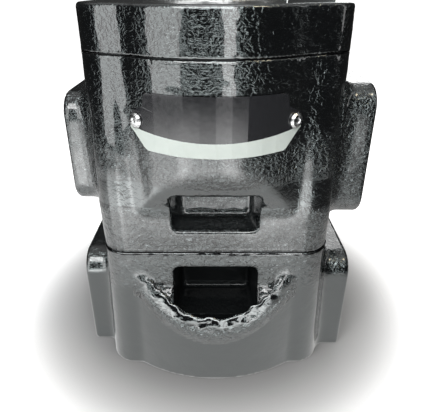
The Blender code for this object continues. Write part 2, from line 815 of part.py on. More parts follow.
def main_outline(height, inset=0.0):
    """The main body's outline, which widens and draws its columns in towards the cover."""
    shoulder_rise = MAIN_LENGTH - MAIN_WAIST_HEIGHT
    share = min(1.0, max(0.0, 1.0 - (MAIN_TOP - height) / shoulder_rise))
    reach = WAIST_REACH + share * (SHOULDER_REACH - WAIST_REACH)
    corner = WAIST_CORNER + share * (SHOULDER_CORNER - WAIST_CORNER)
    draft = (height - MAIN_BOTTOM) / MAIN_LENGTH
    half_width = SEAM_HALF_WIDTH + draft * (MAIN_HALF_WIDTH - SEAM_HALF_WIDTH)
    return casting_outline(half_width, reach, corner, MAIN_LOBE_RADIUS, inset)


def rear_outline(height, inset=0.0):
    draft = height / REAR_LENGTH
    half_width = REAR_BASE_HALF_WIDTH + draft * (SEAM_HALF_WIDTH - REAR_BASE_HALF_WIDTH)
    return casting_outline(half_width, WAIST_REACH, WAIST_CORNER, REAR_LOBE_RADIUS, inset)


def build_front_cover():
    cover = loft(
        "front_cover",
        [
            (main_outline(MAIN_TOP, SEAM_ROUND), MAIN_TOP + SEAT_GAP),
            (main_outline(MAIN_TOP), MAIN_TOP + SEAM_ROUND),
            (main_outline(MAIN_TOP), COVER_TOP - COVER_ROUND),
            (main_outline(MAIN_TOP, 0.3 * COVER_ROUND), COVER_TOP - 0.3 * COVER_ROUND),
            (main_outline(MAIN_TOP, COVER_ROUND), COVER_TOP),
        ],
    )
    pilot_top = COVER_TOP + PILOT_HEIGHT
    join(cover, cylinder("pilot", PILOT_RADIUS, COVER_TOP - OVERCUT, pilot_top, PILOT_STEPS))
    ring_groove = pilot_top - RING_RECESS - RING_THICKNESS - 2 * SEAT_GAP
    seal_seat = ring_groove - LIP_SEAL_WIDTH - SEAT_GAP
    mount_places = [(-MOUNT_HOLE_X, 0.0), (MOUNT_HOLE_X, 0.0)]
    screw_end = MAIN_TOP + SCREW_ENGAGEMENT + OVERCUT
    dowel_end = MAIN_TOP + DOWEL_LENGTH / 2 + SEAT_GAP
    below = MAIN_TOP - OVERCUT
    cut(
        cover,
        cylinder("shaft_hole", MAIN_JOURNAL_RADIUS + 2 * SLIP, below, seal_seat + OVERCUT),
        cylinder("seal_bore", LIP_SEAL_RADIUS + SLIP, seal_seat, pilot_top + OVERCUT),
        cylinder("ring_groove", LIP_SEAL_RADIUS + RING_GROOVE_DEPTH, ring_groove,
                 pilot_top - RING_RECESS),
        *holes("mount_hole", mount_places, MOUNT_HOLE_RADIUS, COVER_TOP - MOUNT_HOLE_DEPTH,
               COVER_TOP + OVERCUT),
        *holes("cover_screw", screw_places(), SCREW_RADIUS + SLIP, below, screw_end, HEAD_STEPS),
        *holes("cover_dowel_hole", dowel_places(), DOWEL_RADIUS + SLIP, below, dowel_end),
    )
    return finish_part(cover, BLACK_PAINT)


def rivet_frames():
    """The head seat and outward direction of both nameplate rivets on the lobe."""
    centre_y = BARREL_Y - (LOBE_REACH - MAIN_LOBE_RADIUS)
    turn = RIVET_REACH / MAIN_LOBE_RADIUS
    height = MAIN_TOP - RIVET_DROP
    frames = []
    for side in (-1, 1):
        outward = Vector((side * math.sin(turn), -math.cos(turn), 0.0))
        seat = Vector((0.0, centre_y, height)) + outward * (MAIN_LOBE_RADIUS + SEAT_GAP)
        frames.append((seat, outward))
    return frames


def along(obj, seat, outward):
    """Turns an upright object to point along a direction, with its origin on a seat."""
    turn = outward.to_track_quat("Z", "Y").to_matrix().to_4x4()
    obj.data.transform(Matrix.Translation(seat) @ turn)
    obj.data.update()
    return obj


def build_main_body():
    waist_end = MAIN_BOTTOM + MAIN_WAIST_HEIGHT
    body = loft(
        "main_body",
        [
            (main_outline(MAIN_BOTTOM, SEAM_ROUND), MAIN_BOTTOM + SEAT_GAP),
            (main_outline(MAIN_BOTTOM), MAIN_BOTTOM + SEAM_ROUND),
            (main_outline(waist_end), waist_end),
            (main_outline(MAIN_TOP), MAIN_TOP - SEAM_ROUND),
            (main_outline(MAIN_TOP, SEAM_ROUND), MAIN_TOP),
        ],
    )
    ledge_end = waist_end + MAIN_LEDGE_RISE
    below = MAIN_BOTTOM - OVERCUT
    above = MAIN_TOP + OVERCUT
    for side, name in ((-1, "front"), (1, "back")):
        cut(body, ledge_cutter(f"main_ledge_{name}", side, waist_end, ledge_end, below))
    round_rims(body, MAIN_RIM_ROUND)
    join(body, *[port_pad(port) for port in MAIN_PORTS])
    for side, name in ((-1, "front"), (1, "back")):
        cut(body, pocket_cutter(f"main_pocket_{name}", MAIN_POCKET, side))
    cut(body, chamber_cutter(MAIN_SET))
    for port in MAIN_PORTS:
        cut(body, *port_cutters(port, MAIN_SET))
    web_hole = MAIN_JOURNAL_RADIUS + 2 * SLIP
    dowel_hole = DOWEL_RADIUS + SLIP
    dowel_depth = DOWEL_LENGTH / 2 + SEAT_GAP
    cut(
        body,
        cylinder("web_hole", web_hole, below, MAIN_SET.floor + OVERCUT),
        seal_ring("front_seal_groove", MAIN_SET, MAIN_TOP - JOINT_SEAL_DEPTH, above),
        *holes("main_screw", screw_places(), SCREW_RADIUS + SLIP, below, above, HEAD_STEPS),
        *holes("main_dowel_low", dowel_places(), dowel_hole, below, MAIN_BOTTOM + dowel_depth),
        *holes("main_dowel_high", dowel_places(), dowel_hole, MAIN_TOP - dowel_depth, above),
    )
    for index, (seat, outward) in enumerate(rivet_frames()):
        hole = cylinder(
            f"rivet_hole_{index}", RIVET_SHANK_RADIUS + SLIP, -RIVET_LENGTH - OVERCUT, OVERCUT,
            RIVET_HOLE_STEPS,
        )
        cut(body, along(hole, seat, outward))
    return finish_part(body, BLACK_PAINT)


def build_rear_body():
    body = loft(
        "rear_body",
        [
            (rear_outline(0.0, SEAM_ROUND), 0.0),
            (rear_outline(0.0), SEAM_ROUND),
            (rear_outline(REAR_LENGTH), REAR_LENGTH - SEAM_ROUND),
            (rear_outline(REAR_LENGTH, SEAM_ROUND), REAR_LENGTH),
        ],
    )
    waist_end = REAR_LENGTH - REAR_WAIST_DEPTH
    ledge_end = waist_end - REAR_LEDGE_FALL
    above = REAR_LENGTH + OVERCUT
    for side, name in ((-1, "front"), (1, "back")):
        cut(body, ledge_cutter(f"rear_ledge_{name}", side, waist_end, ledge_end, above))
    round_rims(body, REAR_RIM_ROUND)
    join(body, *[port_pad(port) for port in REAR_PORTS])
    for side, name in ((-1, "front"), (1, "back")):
        cut(body, pocket_cutter(f"rear_pocket_{name}", REAR_POCKET, side))
    cut(body, chamber_cutter(REAR_SET))
    for port in REAR_PORTS:
        cut(body, *port_cutters(port, REAR_SET))
    counterbore = SCREW_HEAD_RECESS + SCREW_HEAD_HEIGHT + WASHER_THICKNESS + 2 * SEAT_GAP
    dowel_low = REAR_LENGTH - DOWEL_LENGTH / 2 - SEAT_GAP
    cut(
        body,
        seal_ring("rear_seal_groove", REAR_SET, REAR_LENGTH - JOINT_SEAL_DEPTH, above),
        *holes("rear_screw", screw_places(), SCREW_RADIUS + SLIP, -OVERCUT, above, HEAD_STEPS),
        *holes("rear_counterbore", screw_places(), SCREW_HEAD_RADIUS + 2 * SLIP, -OVERCUT,
               counterbore, HEAD_STEPS),
        *holes("rear_dowel_hole", dowel_places(), DOWEL_RADIUS + SLIP, dowel_low, above),
    )
    return finish_part(body, BLACK_PAINT)


# Gears, shafts and coupling


def geared_shaft(name, gears, phase, low, high):
    """A gear with its journals in one piece, upright on the origin's axis."""
    gear = extrusion(name, [gear_outline(gears.centres, phase)], gear_low(gears), gear_high(gears))
    join(gear, cylinder(f"{name}_journals", gears.journal, low, high, SHAFT_STEPS))
    return gear


def quill_ends():
    """The coupling's lower and upper end, centred on the web between the chambers."""
    low = journal_high(REAR_SET) - QUILL_ENGAGEMENT
    high = journal_low(MAIN_SET) + QUILL_ENGAGEMENT
    return low, high


def build_drive_line():
    top = journal_high(MAIN_SET)
    shaft = geared_shaft("drive_shaft", MAIN_SET, -math.pi / 2, journal_low(MAIN_SET), top)
    end = COVER_TOP + SHAFT_STICKOUT
    neck = end - SPLINE_LENGTH
    radius = MAIN_JOURNAL_RADIUS
    nose_profile = [
        (0.0, neck + OVERCUT),
        (SPLINE_ROOT_RADIUS, neck + OVERCUT),
        (SPLINE_ROOT_RADIUS, neck),
        (radius - SHAFT_CHAMFER, neck),
        (radius, neck - SHAFT_CHAMFER),
        (radius, top - NOSE_LAP),
        (0.0, top - NOSE_LAP),
    ]
    spline = spline_outline(SPLINE_TEETH, SPLINE_RADIUS, SPLINE_ROOT_RADIUS)
    join(shaft, turned("shaft_nose", nose_profile))
    join(shaft, extrusion("shaft_spline", [spline], neck, end))
    low, high = quill_ends()
    socket = spline_outline(QUILL_TEETH, QUILL_RADIUS, QUILL_ROOT_RADIUS, SLIP)
    floor = journal_low(MAIN_SET)
    cut(shaft, extrusion("shaft_socket", [socket], floor - OVERCUT, high + SEAT_GAP))
    finish_part(shaft, GROUND_STEEL)

    rear = geared_shaft(
        "rear_drive_gear", REAR_SET, -math.pi / 2, journal_low(REAR_SET), journal_high(REAR_SET)
    )
    rear_end = journal_high(REAR_SET) + OVERCUT
    cut(rear, extrusion("rear_socket", [socket], low - SEAT_GAP, rear_end))
    finish_part(rear, GROUND_STEEL)

    quill = spline_outline(QUILL_TEETH, QUILL_RADIUS, QUILL_ROOT_RADIUS)
    finish_part(extrusion("shaft_coupling", [quill], low, high), DARK_STEEL)


def build_driven_gears():
    for gears in (MAIN_SET, REAR_SET):
        phase = math.pi / 2 + math.pi / TEETH
        gear = geared_shaft(
            f"{gears.name}_driven_gear", gears, phase, journal_low(gears), journal_high(gears)
        )
        finish_part(gear, GROUND_STEEL)
        gear.location = (0.0, -gears.centres, 0.0)


# Bearing blocks, bushes and seals inside the chambers


def build_bearings(gears):
    length = block_length(gears)
    lows = {"rear": gears.floor + SEAT_GAP, "front": gear_high(gears) + SEAT_GAP}
    bush_outer = gears.journal + SLIP + BUSH_WALL
    axes = {"drive": 0.0, "driven": -gears.centres}
    bush_profile = [
        (bush_outer, length - SEAT_GAP),
        (bush_outer, SEAT_GAP),
        (gears.journal + SLIP, SEAT_GAP),
        (gears.journal + SLIP, length - SEAT_GAP),
    ]
    bush = turned(f"{gears.name}_bush", bush_profile, BORE_STEPS)
    dress(bush, BUSH_BRONZE)
    for end, low in lows.items():
        name = f"{gears.name}_{end}_block"
        outline = figure_eight(gears.bore - SEAT_GAP, gears.centres)
        block = extrusion(name, [outline], low, low + length)
        for axis, y in axes.items():
            ends = (low - OVERCUT, low + length + OVERCUT)
            bore = cylinder(f"{name}_{axis}_bore", bush_outer + SLIP, *ends)
            cut(block, place(bore, "Z", (0.0, y, 0.0)))
            copy_of(bush, f"{gears.name}_{end}_{axis}_bush", (0.0, y, low))
        finish_part(block, BEARING_ALLOY)


def build_joint_seals():
    for gears, name in ((MAIN_SET, "front_joint_seal"), (REAR_SET, "rear_joint_seal")):
        low = gears.top - JOINT_SEAL_DEPTH + SEAT_GAP
        finish_part(seal_ring(name, gears, low, gears.top, SLIP), SEAL_RUBBER)


def build_shaft_seal():
    """The lip seal and the open retaining ring above it, in the pilot's counterbore."""
    pilot_top = COVER_TOP + PILOT_HEIGHT
    ring_low = pilot_top - RING_RECESS - RING_THICKNESS - SEAT_GAP
    seal_high = ring_low - 2 * SEAT_GAP
    seal_low = seal_high - LIP_SEAL_WIDTH + SEAT_GAP
    inner = MAIN_JOURNAL_RADIUS + SLIP
    outer = LIP_SEAL_RADIUS
    lip = turned(
        "shaft_lip_seal",
        [
            (outer, seal_high),
            (outer, seal_low),
            (inner + 1.5 * LIP_THICKNESS, seal_low),
            (inner + LIP_THICKNESS, seal_low + LIP_THICKNESS),
            (inner, seal_low + 1.3 * LIP_THICKNESS),
            (inner + 0.6 * LIP_THICKNESS, seal_high - LIP_THICKNESS),
            (inner + 0.6 * LIP_THICKNESS, seal_high),
        ],
        SHAFT_STEPS,
    )
    finish_part(lip, SEAL_RUBBER)
    ring_outer = LIP_SEAL_RADIUS + RING_GROOVE_DEPTH - SLIP
    ends = (RING_OPENING / 2, math.tau - RING_OPENING / 2)
    outline = arc((0.0, 0.0), ring_outer, *ends, CHAMBER_STEP)
    outline += arc((0.0, 0.0), ring_outer - RING_WIDTH, *reversed(ends), CHAMBER_STEP)
    ring = extrusion("seal_retaining_ring", [outline], ring_low, ring_low + RING_THICKNESS)
    finish_part(ring, DARK_STEEL)


# Fasteners and nameplate


def build_screws():
    """Four socket head screws with washers, from the rear body's counterbores to the cover."""
    shank_low = SCREW_HEAD_RECESS + SCREW_HEAD_HEIGHT
    top = MAIN_TOP + SCREW_ENGAGEMENT
    profile = [
        (0.0, top),
        (SCREW_RADIUS - SCREW_CHAMFER, top),
        (SCREW_RADIUS, top - SCREW_CHAMFER),
        (SCREW_RADIUS, shank_low),
        (SCREW_HEAD_RADIUS, shank_low),
        (SCREW_HEAD_RADIUS, SCREW_HEAD_RECESS + SCREW_CHAMFER),
        (SCREW_HEAD_RADIUS - SCREW_CHAMFER, SCREW_HEAD_RECESS),
        (0.0, SCREW_HEAD_RECESS),
    ]
    screw = turned("tie_screw_pattern", profile, HEAD_STEPS)
    socket_top = SCREW_HEAD_RECESS + SCREW_SOCKET_DEPTH
    cut(screw, cylinder("screw_socket", SCREW_SOCKET_RADIUS, 0.0, socket_top, SOCKET_SIDES))
    freeze(screw)
    dress(screw, DARK_STEEL)
    washer_low = shank_low + SEAT_GAP
    washer_profile = [
        (SCREW_HEAD_RADIUS, washer_low + WASHER_THICKNESS),
        (SCREW_HEAD_RADIUS, washer_low),
        (SCREW_RADIUS + SLIP, washer_low),
        (SCREW_RADIUS + SLIP, washer_low + WASHER_THICKNESS),
    ]
    washer = turned("washer_pattern", washer_profile, HEAD_STEPS)
    dress(washer, DARK_STEEL)
    for index, (x, y) in enumerate(screw_places()):
        copy_of(screw, f"tie_screw_{index + 1}", (x, y, 0.0))
        copy_of(washer, f"tie_screw_washer_{index + 1}", (x, y, 0.0))


def build_dowels():
    half = DOWEL_LENGTH / 2
    pin_profile = [
        (0.0, half),
        (DOWEL_RADIUS - DOWEL_CHAMFER, half),
        (DOWEL_RADIUS, half - DOWEL_CHAMFER),
        (DOWEL_RADIUS, DOWEL_CHAMFER - half),
        (DOWEL_RADIUS - DOWEL_CHAMFER, -half),
        (0.0, -half),
    ]
    pin = turned("dowel_pattern", pin_profile, HOLE_STEPS)
    dress(pin, GROUND_STEEL)
    for seam, height in (("front", MAIN_TOP), ("rear", REAR_LENGTH)):
        for index, (x, y) in enumerate(dowel_places()):
            copy_of(pin, f"{seam}_dowel_{index + 1}", (x, y, height))


def plate_outline():
    """The nameplate laid flat: straight top, ears round the rivets and a drooping foot."""
    top = -PLATE_TOP_DROP
    foot = -PLATE_BOTTOM_DROP
    top_corner = (PLATE_HALF_WIDTH - PLATE_CORNER, top - PLATE_CORNER)
    ear = (RIVET_REACH - 0.2 * PLATE_EAR_RADIUS, -RIVET_DROP)
    right = arc(top_corner, PLATE_CORNER, math.pi / 2, 0.0, EAR_STEP)
    right += [(PLATE_HALF_WIDTH + 0.3 * PLATE_CORNER, 1.4 * PLATE_EAR_RADIUS - RIVET_DROP)]
    right += arc(ear, PLATE_EAR_RADIUS, PLATE_EAR_START, PLATE_EAR_END, EAR_STEP)
    right += [
        (PLATE_TIP_REACH, -PLATE_TIP_DROP),
        (PLATE_TIP_REACH - PLATE_CORNER, -PLATE_TIP_DROP - 0.8 * PLATE_CORNER),
        (PLATE_FOOT_HALF_WIDTH, foot + PLATE_BOTTOM_SAG + 0.5 * PLATE_CORNER),
        (PLATE_FOOT_HALF_WIDTH - 0.75 * PLATE_CORNER, foot + PLATE_BOTTOM_SAG),
        (0.5 * PLATE_FOOT_HALF_WIDTH, foot + 0.3 * PLATE_BOTTOM_SAG),
    ]
    left = [(-x, y) for x, y in reversed(right)]
    return list(reversed([*right, (0.0, foot), *left]))


def build_nameplate():
    plate = extrusion("nameplate", [plate_outline()], 0.0, PLATE_THICKNESS)
    for side in (-1, 1):
        hole = cylinder(
            f"plate_hole_{side}", RIVET_SHANK_RADIUS + SLIP, -OVERCUT, PLATE_THICKNESS + OVERCUT,
            RIVET_HOLE_STEPS,
        )
        cut(plate, place(hole, "Z", (side * RIVET_REACH, -RIVET_DROP, 0.0)))
    freeze(plate)
    work = bmesh.new()
    work.from_mesh(plate.data)
    for index in range(1, PLATE_STRIPS):
        x = PLATE_TIP_REACH * (2 * index / PLATE_STRIPS - 1)
        every = work.verts[:] + work.edges[:] + work.faces[:]
        bmesh.ops.bisect_plane(
            work, geom=every, dist=WELD_DISTANCE / 10, plane_co=(x, 0, 0), plane_no=(1, 0, 0)
        )
    centre_y = BARREL_Y - (LOBE_REACH - MAIN_LOBE_RADIUS)
    for vert in work.verts:
        radius = MAIN_LOBE_RADIUS + SEAT_GAP + vert.co.z
        turn = vert.co.x / MAIN_LOBE_RADIUS
        height = MAIN_TOP + vert.co.y
        vert.co = (radius * math.sin(turn), centre_y - radius * math.cos(turn), height)
    work.to_mesh(plate.data)
    work.free()
    finish_part(plate, PLATE_ALLOY)


def build_rivets():
    """Blind rivets with a domed head and the mandrel's dimple."""
    for index, (seat, outward) in enumerate(rivet_frames()):
        low = PLATE_THICKNESS + SEAT_GAP
        rivet = turned(
            f"nameplate_rivet_{index + 1}",
            [
                (0.0, low + 0.5 * RIVET_HEAD_HEIGHT),
                (0.3 * RIVET_HEAD_RADIUS, low + 0.5 * RIVET_HEAD_HEIGHT),
                (0.4 * RIVET_HEAD_RADIUS, low + RIVET_HEAD_HEIGHT),
                (0.75 * RIVET_HEAD_RADIUS, low + 0.85 * RIVET_HEAD_HEIGHT),
                (RIVET_HEAD_RADIUS, low + 0.3 * RIVET_HEAD_HEIGHT),
                (RIVET_HEAD_RADIUS, low),
                (RIVET_SHANK_RADIUS, low),
                (RIVET_SHANK_RADIUS, low - RIVET_LENGTH),
                (0.0, low - RIVET_LENGTH),
            ],
            HEAD_STEPS,
        )
        finish_part(along(rivet, seat, outward), PLATE_ALLOY)


def main():
    build_front_cover()
    build_main_body()
    build_rear_body()
    build_drive_line()
    build_driven_gears()
    for gears in (MAIN_SET, REAR_SET):
        build_bearings(gears)
    build_joint_seals()
    build_shaft_seal()
    build_screws()
    build_dowels()
    build_nameplate()
    build_rivets()


main()
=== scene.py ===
import math
from functools import reduce

import bpy
import numpy as np
from mathutils import Matrix, Vector, noise


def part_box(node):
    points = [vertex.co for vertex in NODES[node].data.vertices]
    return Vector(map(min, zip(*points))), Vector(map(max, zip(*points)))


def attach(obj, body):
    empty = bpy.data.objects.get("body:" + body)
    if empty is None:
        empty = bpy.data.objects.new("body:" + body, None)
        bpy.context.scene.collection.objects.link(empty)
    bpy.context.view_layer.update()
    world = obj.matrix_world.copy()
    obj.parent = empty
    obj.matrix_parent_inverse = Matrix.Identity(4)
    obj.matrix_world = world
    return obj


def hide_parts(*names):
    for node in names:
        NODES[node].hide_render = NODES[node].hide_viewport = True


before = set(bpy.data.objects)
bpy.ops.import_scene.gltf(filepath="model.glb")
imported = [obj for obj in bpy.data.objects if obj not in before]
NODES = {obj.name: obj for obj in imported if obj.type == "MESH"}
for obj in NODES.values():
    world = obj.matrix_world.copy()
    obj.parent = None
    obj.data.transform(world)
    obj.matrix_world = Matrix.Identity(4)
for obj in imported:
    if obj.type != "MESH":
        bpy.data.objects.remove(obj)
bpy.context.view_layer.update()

MM = 0.001


def box_side(node, end, axis):
    """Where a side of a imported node's box lies, in millimetres."""
    return round(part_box(node)[end][axis] / MM, 1)


# The castings' faces, in millimetres: heights over the rear face, and reaches from the axis
SEAM = box_side("rear_body", 1, 2)
MAIN_TOP = box_side("main_body", 1, 2)
PILOT_TOP = box_side("front_cover", 1, 2)
COVER_TOP = PILOT_TOP - 6.4
GAP = 0.3
REAR_LEFT = -box_side("rear_body", 0, 0)
REAR_RIGHT = box_side("rear_body", 1, 0)
MAIN_LEFT = -box_side("main_body", 0, 0)
MAIN_RIGHT = box_side("main_body", 1, 0)
BARREL_Y = round((box_side("main_body", 0, 1) + box_side("main_body", 1, 1)) / 2, 1)

# Reaches from the barrel's middle plane, towards the nameplate and away from it
LOBE_REACH = box_side("main_body", 1, 1) - BARREL_Y
WAIST_REACH = 62.7
SHOULDER_REACH = 58.4

# Columns: half widths, and the radii of their corners
FOOT_HALF = 59.4
WAIST_HALF = 57.4
SHOULDER_HALF = 60.0
WAIST_CORNER = 14.0
SHOULDER_CORNER = 20.0

# Lobes: the radii of their arcs, and how far the arcs go on inside the columns
MAIN_LOBE = 56.0
REAR_LOBE = 76.0
LOBE_ROOT = 9.0

# The rear lobe's ledge: a shelf and a fall, each a height at the waist and a rate of
# descent outwards, waves of its skin (height, length, seed), and the ragged lip's radius
REAR_SHELF = dict(height=52.6, rate=1.05)
REAR_FALL = dict(height=55.4, rate=2.25)
LEDGE_WAVES = ((0.2, 4.5, 3), (0.12, 2.8, 4))
LIP_RADIUS = 2.3

# Fillets between forms, and the rounding of edges
COVER_LOBE_FILLET = 5.0
MAIN_LOBE_FILLET = 3.0
REAR_LOBE_FILLET = 1.0
COVER_RIM = 2.0
PILOT_RIM = 0.7
MAIN_LEDGE_RIM = 6.0
MAIN_POCKET_RIM = 1.4
REAR_POCKET_RIM = 0.9
MACHINED_EDGE = 0.35
SEAM_EDGE = 0.5
FOOT_EDGE = 0.8

# Port pads, and the holes in them
PAD_FILLET = 6.0
PAD_RIM = 2.2
PAD_ROOT = 40.0
MAIN_PADS = (
    dict(side=1, face=MAIN_RIGHT, reach=46.7, low=85.0, high=152.0, corner=11.5),
    dict(side=-1, face=MAIN_LEFT, reach=45.0, low=92.0, high=148.0, corner=11.5),
)
REAR_PADS = (
    dict(side=1, face=REAR_RIGHT, reach=48.0, low=-40.0, high=59.8, corner=12.0),
    dict(side=-1, face=REAR_LEFT, reach=43.0, low=-40.0, high=59.0, corner=12.0),
)
MAIN_PORTS = (
    dict(side=1, face=MAIN_RIGHT, bore=16.0, spacing_y=58.7, spacing_z=30.2),
    dict(side=-1, face=MAIN_LEFT, bore=12.5, spacing_y=52.4, spacing_z=26.2),
)
REAR_PORTS = (
    dict(side=1, face=REAR_RIGHT, bore=12.5, spacing_y=52.4, spacing_z=26.2),
    dict(side=-1, face=REAR_LEFT, bore=9.5, spacing_y=47.6, spacing_z=22.2),
)
PORT_END = 8.0
PORT_SCREW_HOLE = 4.25
PORT_SCREW_DEPTH = 15.0

# Cast pockets in the half-moons: depths in front and behind, the lean of the main
# pocket's back, and the wall that stays in front of the rear pocket
MAIN_POCKET = dict(low=86.1, high=107.5, mouth=21.0, back=18.2)
MAIN_POCKET_DEPTHS = (17.4, 12.0)
MAIN_POCKET_LEAN = 0.13
REAR_POCKET = dict(low=33.6, high=64.9, mouth=21.4, back=19.6)
REAR_POCKET_DEPTHS = (27.4, 16.0)
REAR_POCKET_WALL = 4.2

# Gear chambers: radius, distance of the centres, floor, and the height of the ports
MAIN_GEARS = dict(radius=23.63, centres=40.0)
MAIN_CHAMBER_FLOOR = 82.5
MAIN_PORT_HEIGHT = 120.0
REAR_GEARS = dict(radius=18.97, centres=32.0)
REAR_CHAMBER_FLOOR = 7.0
REAR_PORT_HEIGHT = 32.0

# Holes along Z: radii and depths; a hole that leaves a casting runs on past its face
PILOT_RADIUS = 40.0
SHAFT_HOLE = 11.1
SEAL_BORE = 17.8
SEAL_BORE_FLOOR = 181.6
RING_GROOVE = 19.5
RING_GROOVE_ENDS = (189.9, 192.0)
MOUNT_HOLE = 5.1
MOUNT_HOLE_FLOOR = 172.6
MOUNT_REACH = 47.0
SCREW_HOLE = 6.3
SCREW_HOLE_END = 181.3
SCREW_HEAD_HOLE = 9.6
SCREW_HEAD_DEPTH = 16.5
DOWEL_HOLE = 4.3
DOWEL_DEPTH = 8.3
HOLE_EDGE = 0.5
PAST = 5.0
FAR = 300.0
SCREW_PLACES = [(x, BARREL_Y + y) for x in (-44.0, 44.0) for y in (-48.0, 48.0)]
DOWEL_PLACES = [(-40.0, BARREL_Y - 36.0), (40.0, BARREL_Y + 36.0)]


# Solid shapes as distance fields


def disc(x, y, radius):
    return np.hypot(x, y) - radius


def rounded(x, y, half_x, half_y, corner):
    """A rectangle about the origin with round corners."""
    over_x = np.abs(x) - half_x + corner
    over_y = np.abs(y) - half_y + corner
    outside = np.hypot(np.maximum(over_x, 0.0), np.maximum(over_y, 0.0))
    return outside + np.minimum(np.maximum(over_x, over_y), 0.0) - corner


def join(first, second, fillet):
    """Both shapes in one, with a fillet between them."""
    near = np.hypot(np.maximum(fillet - first, 0.0), np.maximum(fillet - second, 0.0))
    return np.maximum(fillet, np.minimum(first, second)) - near


def meet(first, second, rounding):
    """What both shapes share, with a rounded edge."""
    near = np.hypot(np.maximum(rounding + first, 0.0), np.maximum(rounding + second, 0.0))
    return np.minimum(-rounding, np.maximum(first, second)) + near


def cut(solid, hole, rounding):
    """A solid without a hole, with a rounded edge."""
    return meet(solid, -hole, rounding)


def upright(x, y, z, place, radius, low, high):
    """A round hole along Z."""
    return np.maximum(disc(x - place[0], y - place[1], radius), np.maximum(low - z, z - high))


def uprights(x, y, z, drills):
    """Round holes along Z, each given by its place, radius, low end and high end."""
    return reduce(np.minimum, (upright(x, y, z, *drill) for drill in drills))


def sideways(x, y, z, place, radius, low, high):
    """A round hole along X, at a place in Y and Z."""
    return np.maximum(disc(y - place[0], z - place[1], radius), np.maximum(low - x, x - high))


def figure_eight(x, y, radius, centres):
    """Two discs, one about the shaft's axis and one about the driven gears' axis."""
    return np.minimum(disc(x, y, radius), disc(x, y + centres, radius))


def ripples(x, y, z, wavelength, seed):
    """Smooth random relief: plane waves of one length in seeded directions."""
    waves = 9
    rng = np.random.default_rng(seed)
    total = np.zeros(np.shape(x))
    for _ in range(waves):
        way = rng.normal(size=3)
        way *= 2 * math.pi / (wavelength * np.linalg.norm(way))
        total += np.sin(way[0] * x + way[1] * y + way[2] * z + rng.uniform(0.0, 6.3))
    return total / math.sqrt(waves)


def slanted(v, z, height, rate):
    """A sloping top: its height at the waist, and how fast it falls outwards."""
    return (z - height + rate * (v - WAIST_REACH)) / math.hypot(1.0, rate)


def lobe_disc(x, v, reach, lobe_radius):
    """The lobe's arc, which stops inside the columns behind it."""
    arc = disc(x, v - LOBE_REACH + lobe_radius, lobe_radius)
    return np.maximum(arc, reach - LOBE_ROOT - v)


def port_pad(x, v, z, side, face, reach, low, high, corner):
    """A flat pad that stands out to one side in X; v is measured from the barrel's middle."""
    box = rounded(v, z - (low + high) / 2, reach, (high - low) / 2, corner)
    pad = meet(box, side * x - face, PAD_RIM)
    return np.maximum(pad, PAD_ROOT - side * x)


def pocket(x, v, z, wall, depth, low, high, mouth, back):
    """A drafted pocket from its back wall outwards; the wall can lean."""
    corner, fillet = 3.5, 2.0
    half = back + (mouth - back) * np.clip((v - wall) / depth, 0.0, 1.0)
    box = rounded(x, z - (low + high) / 2, half, (high - low) / 2, corner)
    return meet(box, wall - v, fillet)


def flange_holes(x, y, z, middle, height, side, face, bore, spacing_y, spacing_z):
    """A port's bore into the gear chamber, and the four screw holes round it."""
    ends = sorted((side * PORT_END, side * FAR))
    holes = sideways(x, y, z, (middle, height), bore, *ends)
    ends = sorted((side * (face - PORT_SCREW_DEPTH), side * FAR))
    for dy in (-0.5, 0.5):
        for dz in (-0.5, 0.5):
            place = (middle + dy * spacing_y, height + dz * spacing_z)
            holes = np.minimum(holes, sideways(x, y, z, place, PORT_SCREW_HOLE, *ends))
    return holes


def seal_groove(x, y, z, top, radius, centres):
    """The groove for a joint seal, round a gear chamber's mouth."""
    offset, half_width, depth = 4.0, 1.0, 1.8
    ring = np.abs(figure_eight(x, y, radius + offset, centres)) - half_width
    return np.maximum(ring, np.maximum(top - depth - z, z - top - PAST))


def chamber_holes(x, y, z, gears, floor, top, ports, port_height):
    """A gear chamber, its seal's groove and its ports."""
    holes = np.maximum(figure_eight(x, y, **gears), floor - z)
    holes = np.minimum(holes, seal_groove(x, y, z, top, **gears))
    for port in ports:
        bores = flange_holes(x, y, z, -gears["centres"] / 2, port_height, **port)
        holes = np.minimum(holes, bores)
    return holes


# Front cover


def cover_form(x, y, z):
    v = np.abs(y - BARREL_Y)
    core = rounded(x, v, SHOULDER_HALF, SHOULDER_REACH, SHOULDER_CORNER)
    wall = join(core, lobe_disc(x, v, SHOULDER_REACH, MAIN_LOBE), COVER_LOBE_FILLET)
    pilot = meet(disc(x, y, PILOT_RADIUS), z - PILOT_TOP, PILOT_RIM)
    solid = np.minimum(meet(wall, z - COVER_TOP, COVER_RIM), pilot)
    return meet(solid, MAIN_TOP + GAP - z, MACHINED_EDGE)


def cover_holes(x, y, z):
    drills = [
        ((0, 0), SHAFT_HOLE, -PAST, FAR),
        ((0, 0), SEAL_BORE, SEAL_BORE_FLOOR, FAR),
        ((0, 0), RING_GROOVE, *RING_GROOVE_ENDS),
        ((-MOUNT_REACH, 0), MOUNT_HOLE, MOUNT_HOLE_FLOOR, FAR),
        ((MOUNT_REACH, 0), MOUNT_HOLE, MOUNT_HOLE_FLOOR, FAR),
    ]
    drills += [(place, SCREW_HOLE, -PAST, SCREW_HOLE_END) for place in SCREW_PLACES]
    drills += [(place, DOWEL_HOLE, -PAST, MAIN_TOP + DOWEL_DEPTH) for place in DOWEL_PLACES]
    return uprights(x, y, z, drills)


def cover_faces(x, y, z):
    """Distances from the cover's machined faces."""
    return z - COVER_TOP, z - PILOT_TOP, z - MAIN_TOP - GAP, disc(x, y, PILOT_RADIUS)


def cover_relief(x, v, z):
    return {"grain": np.full(len(x), 0.12), "wrinkle": np.ones(len(x))}


# Main body


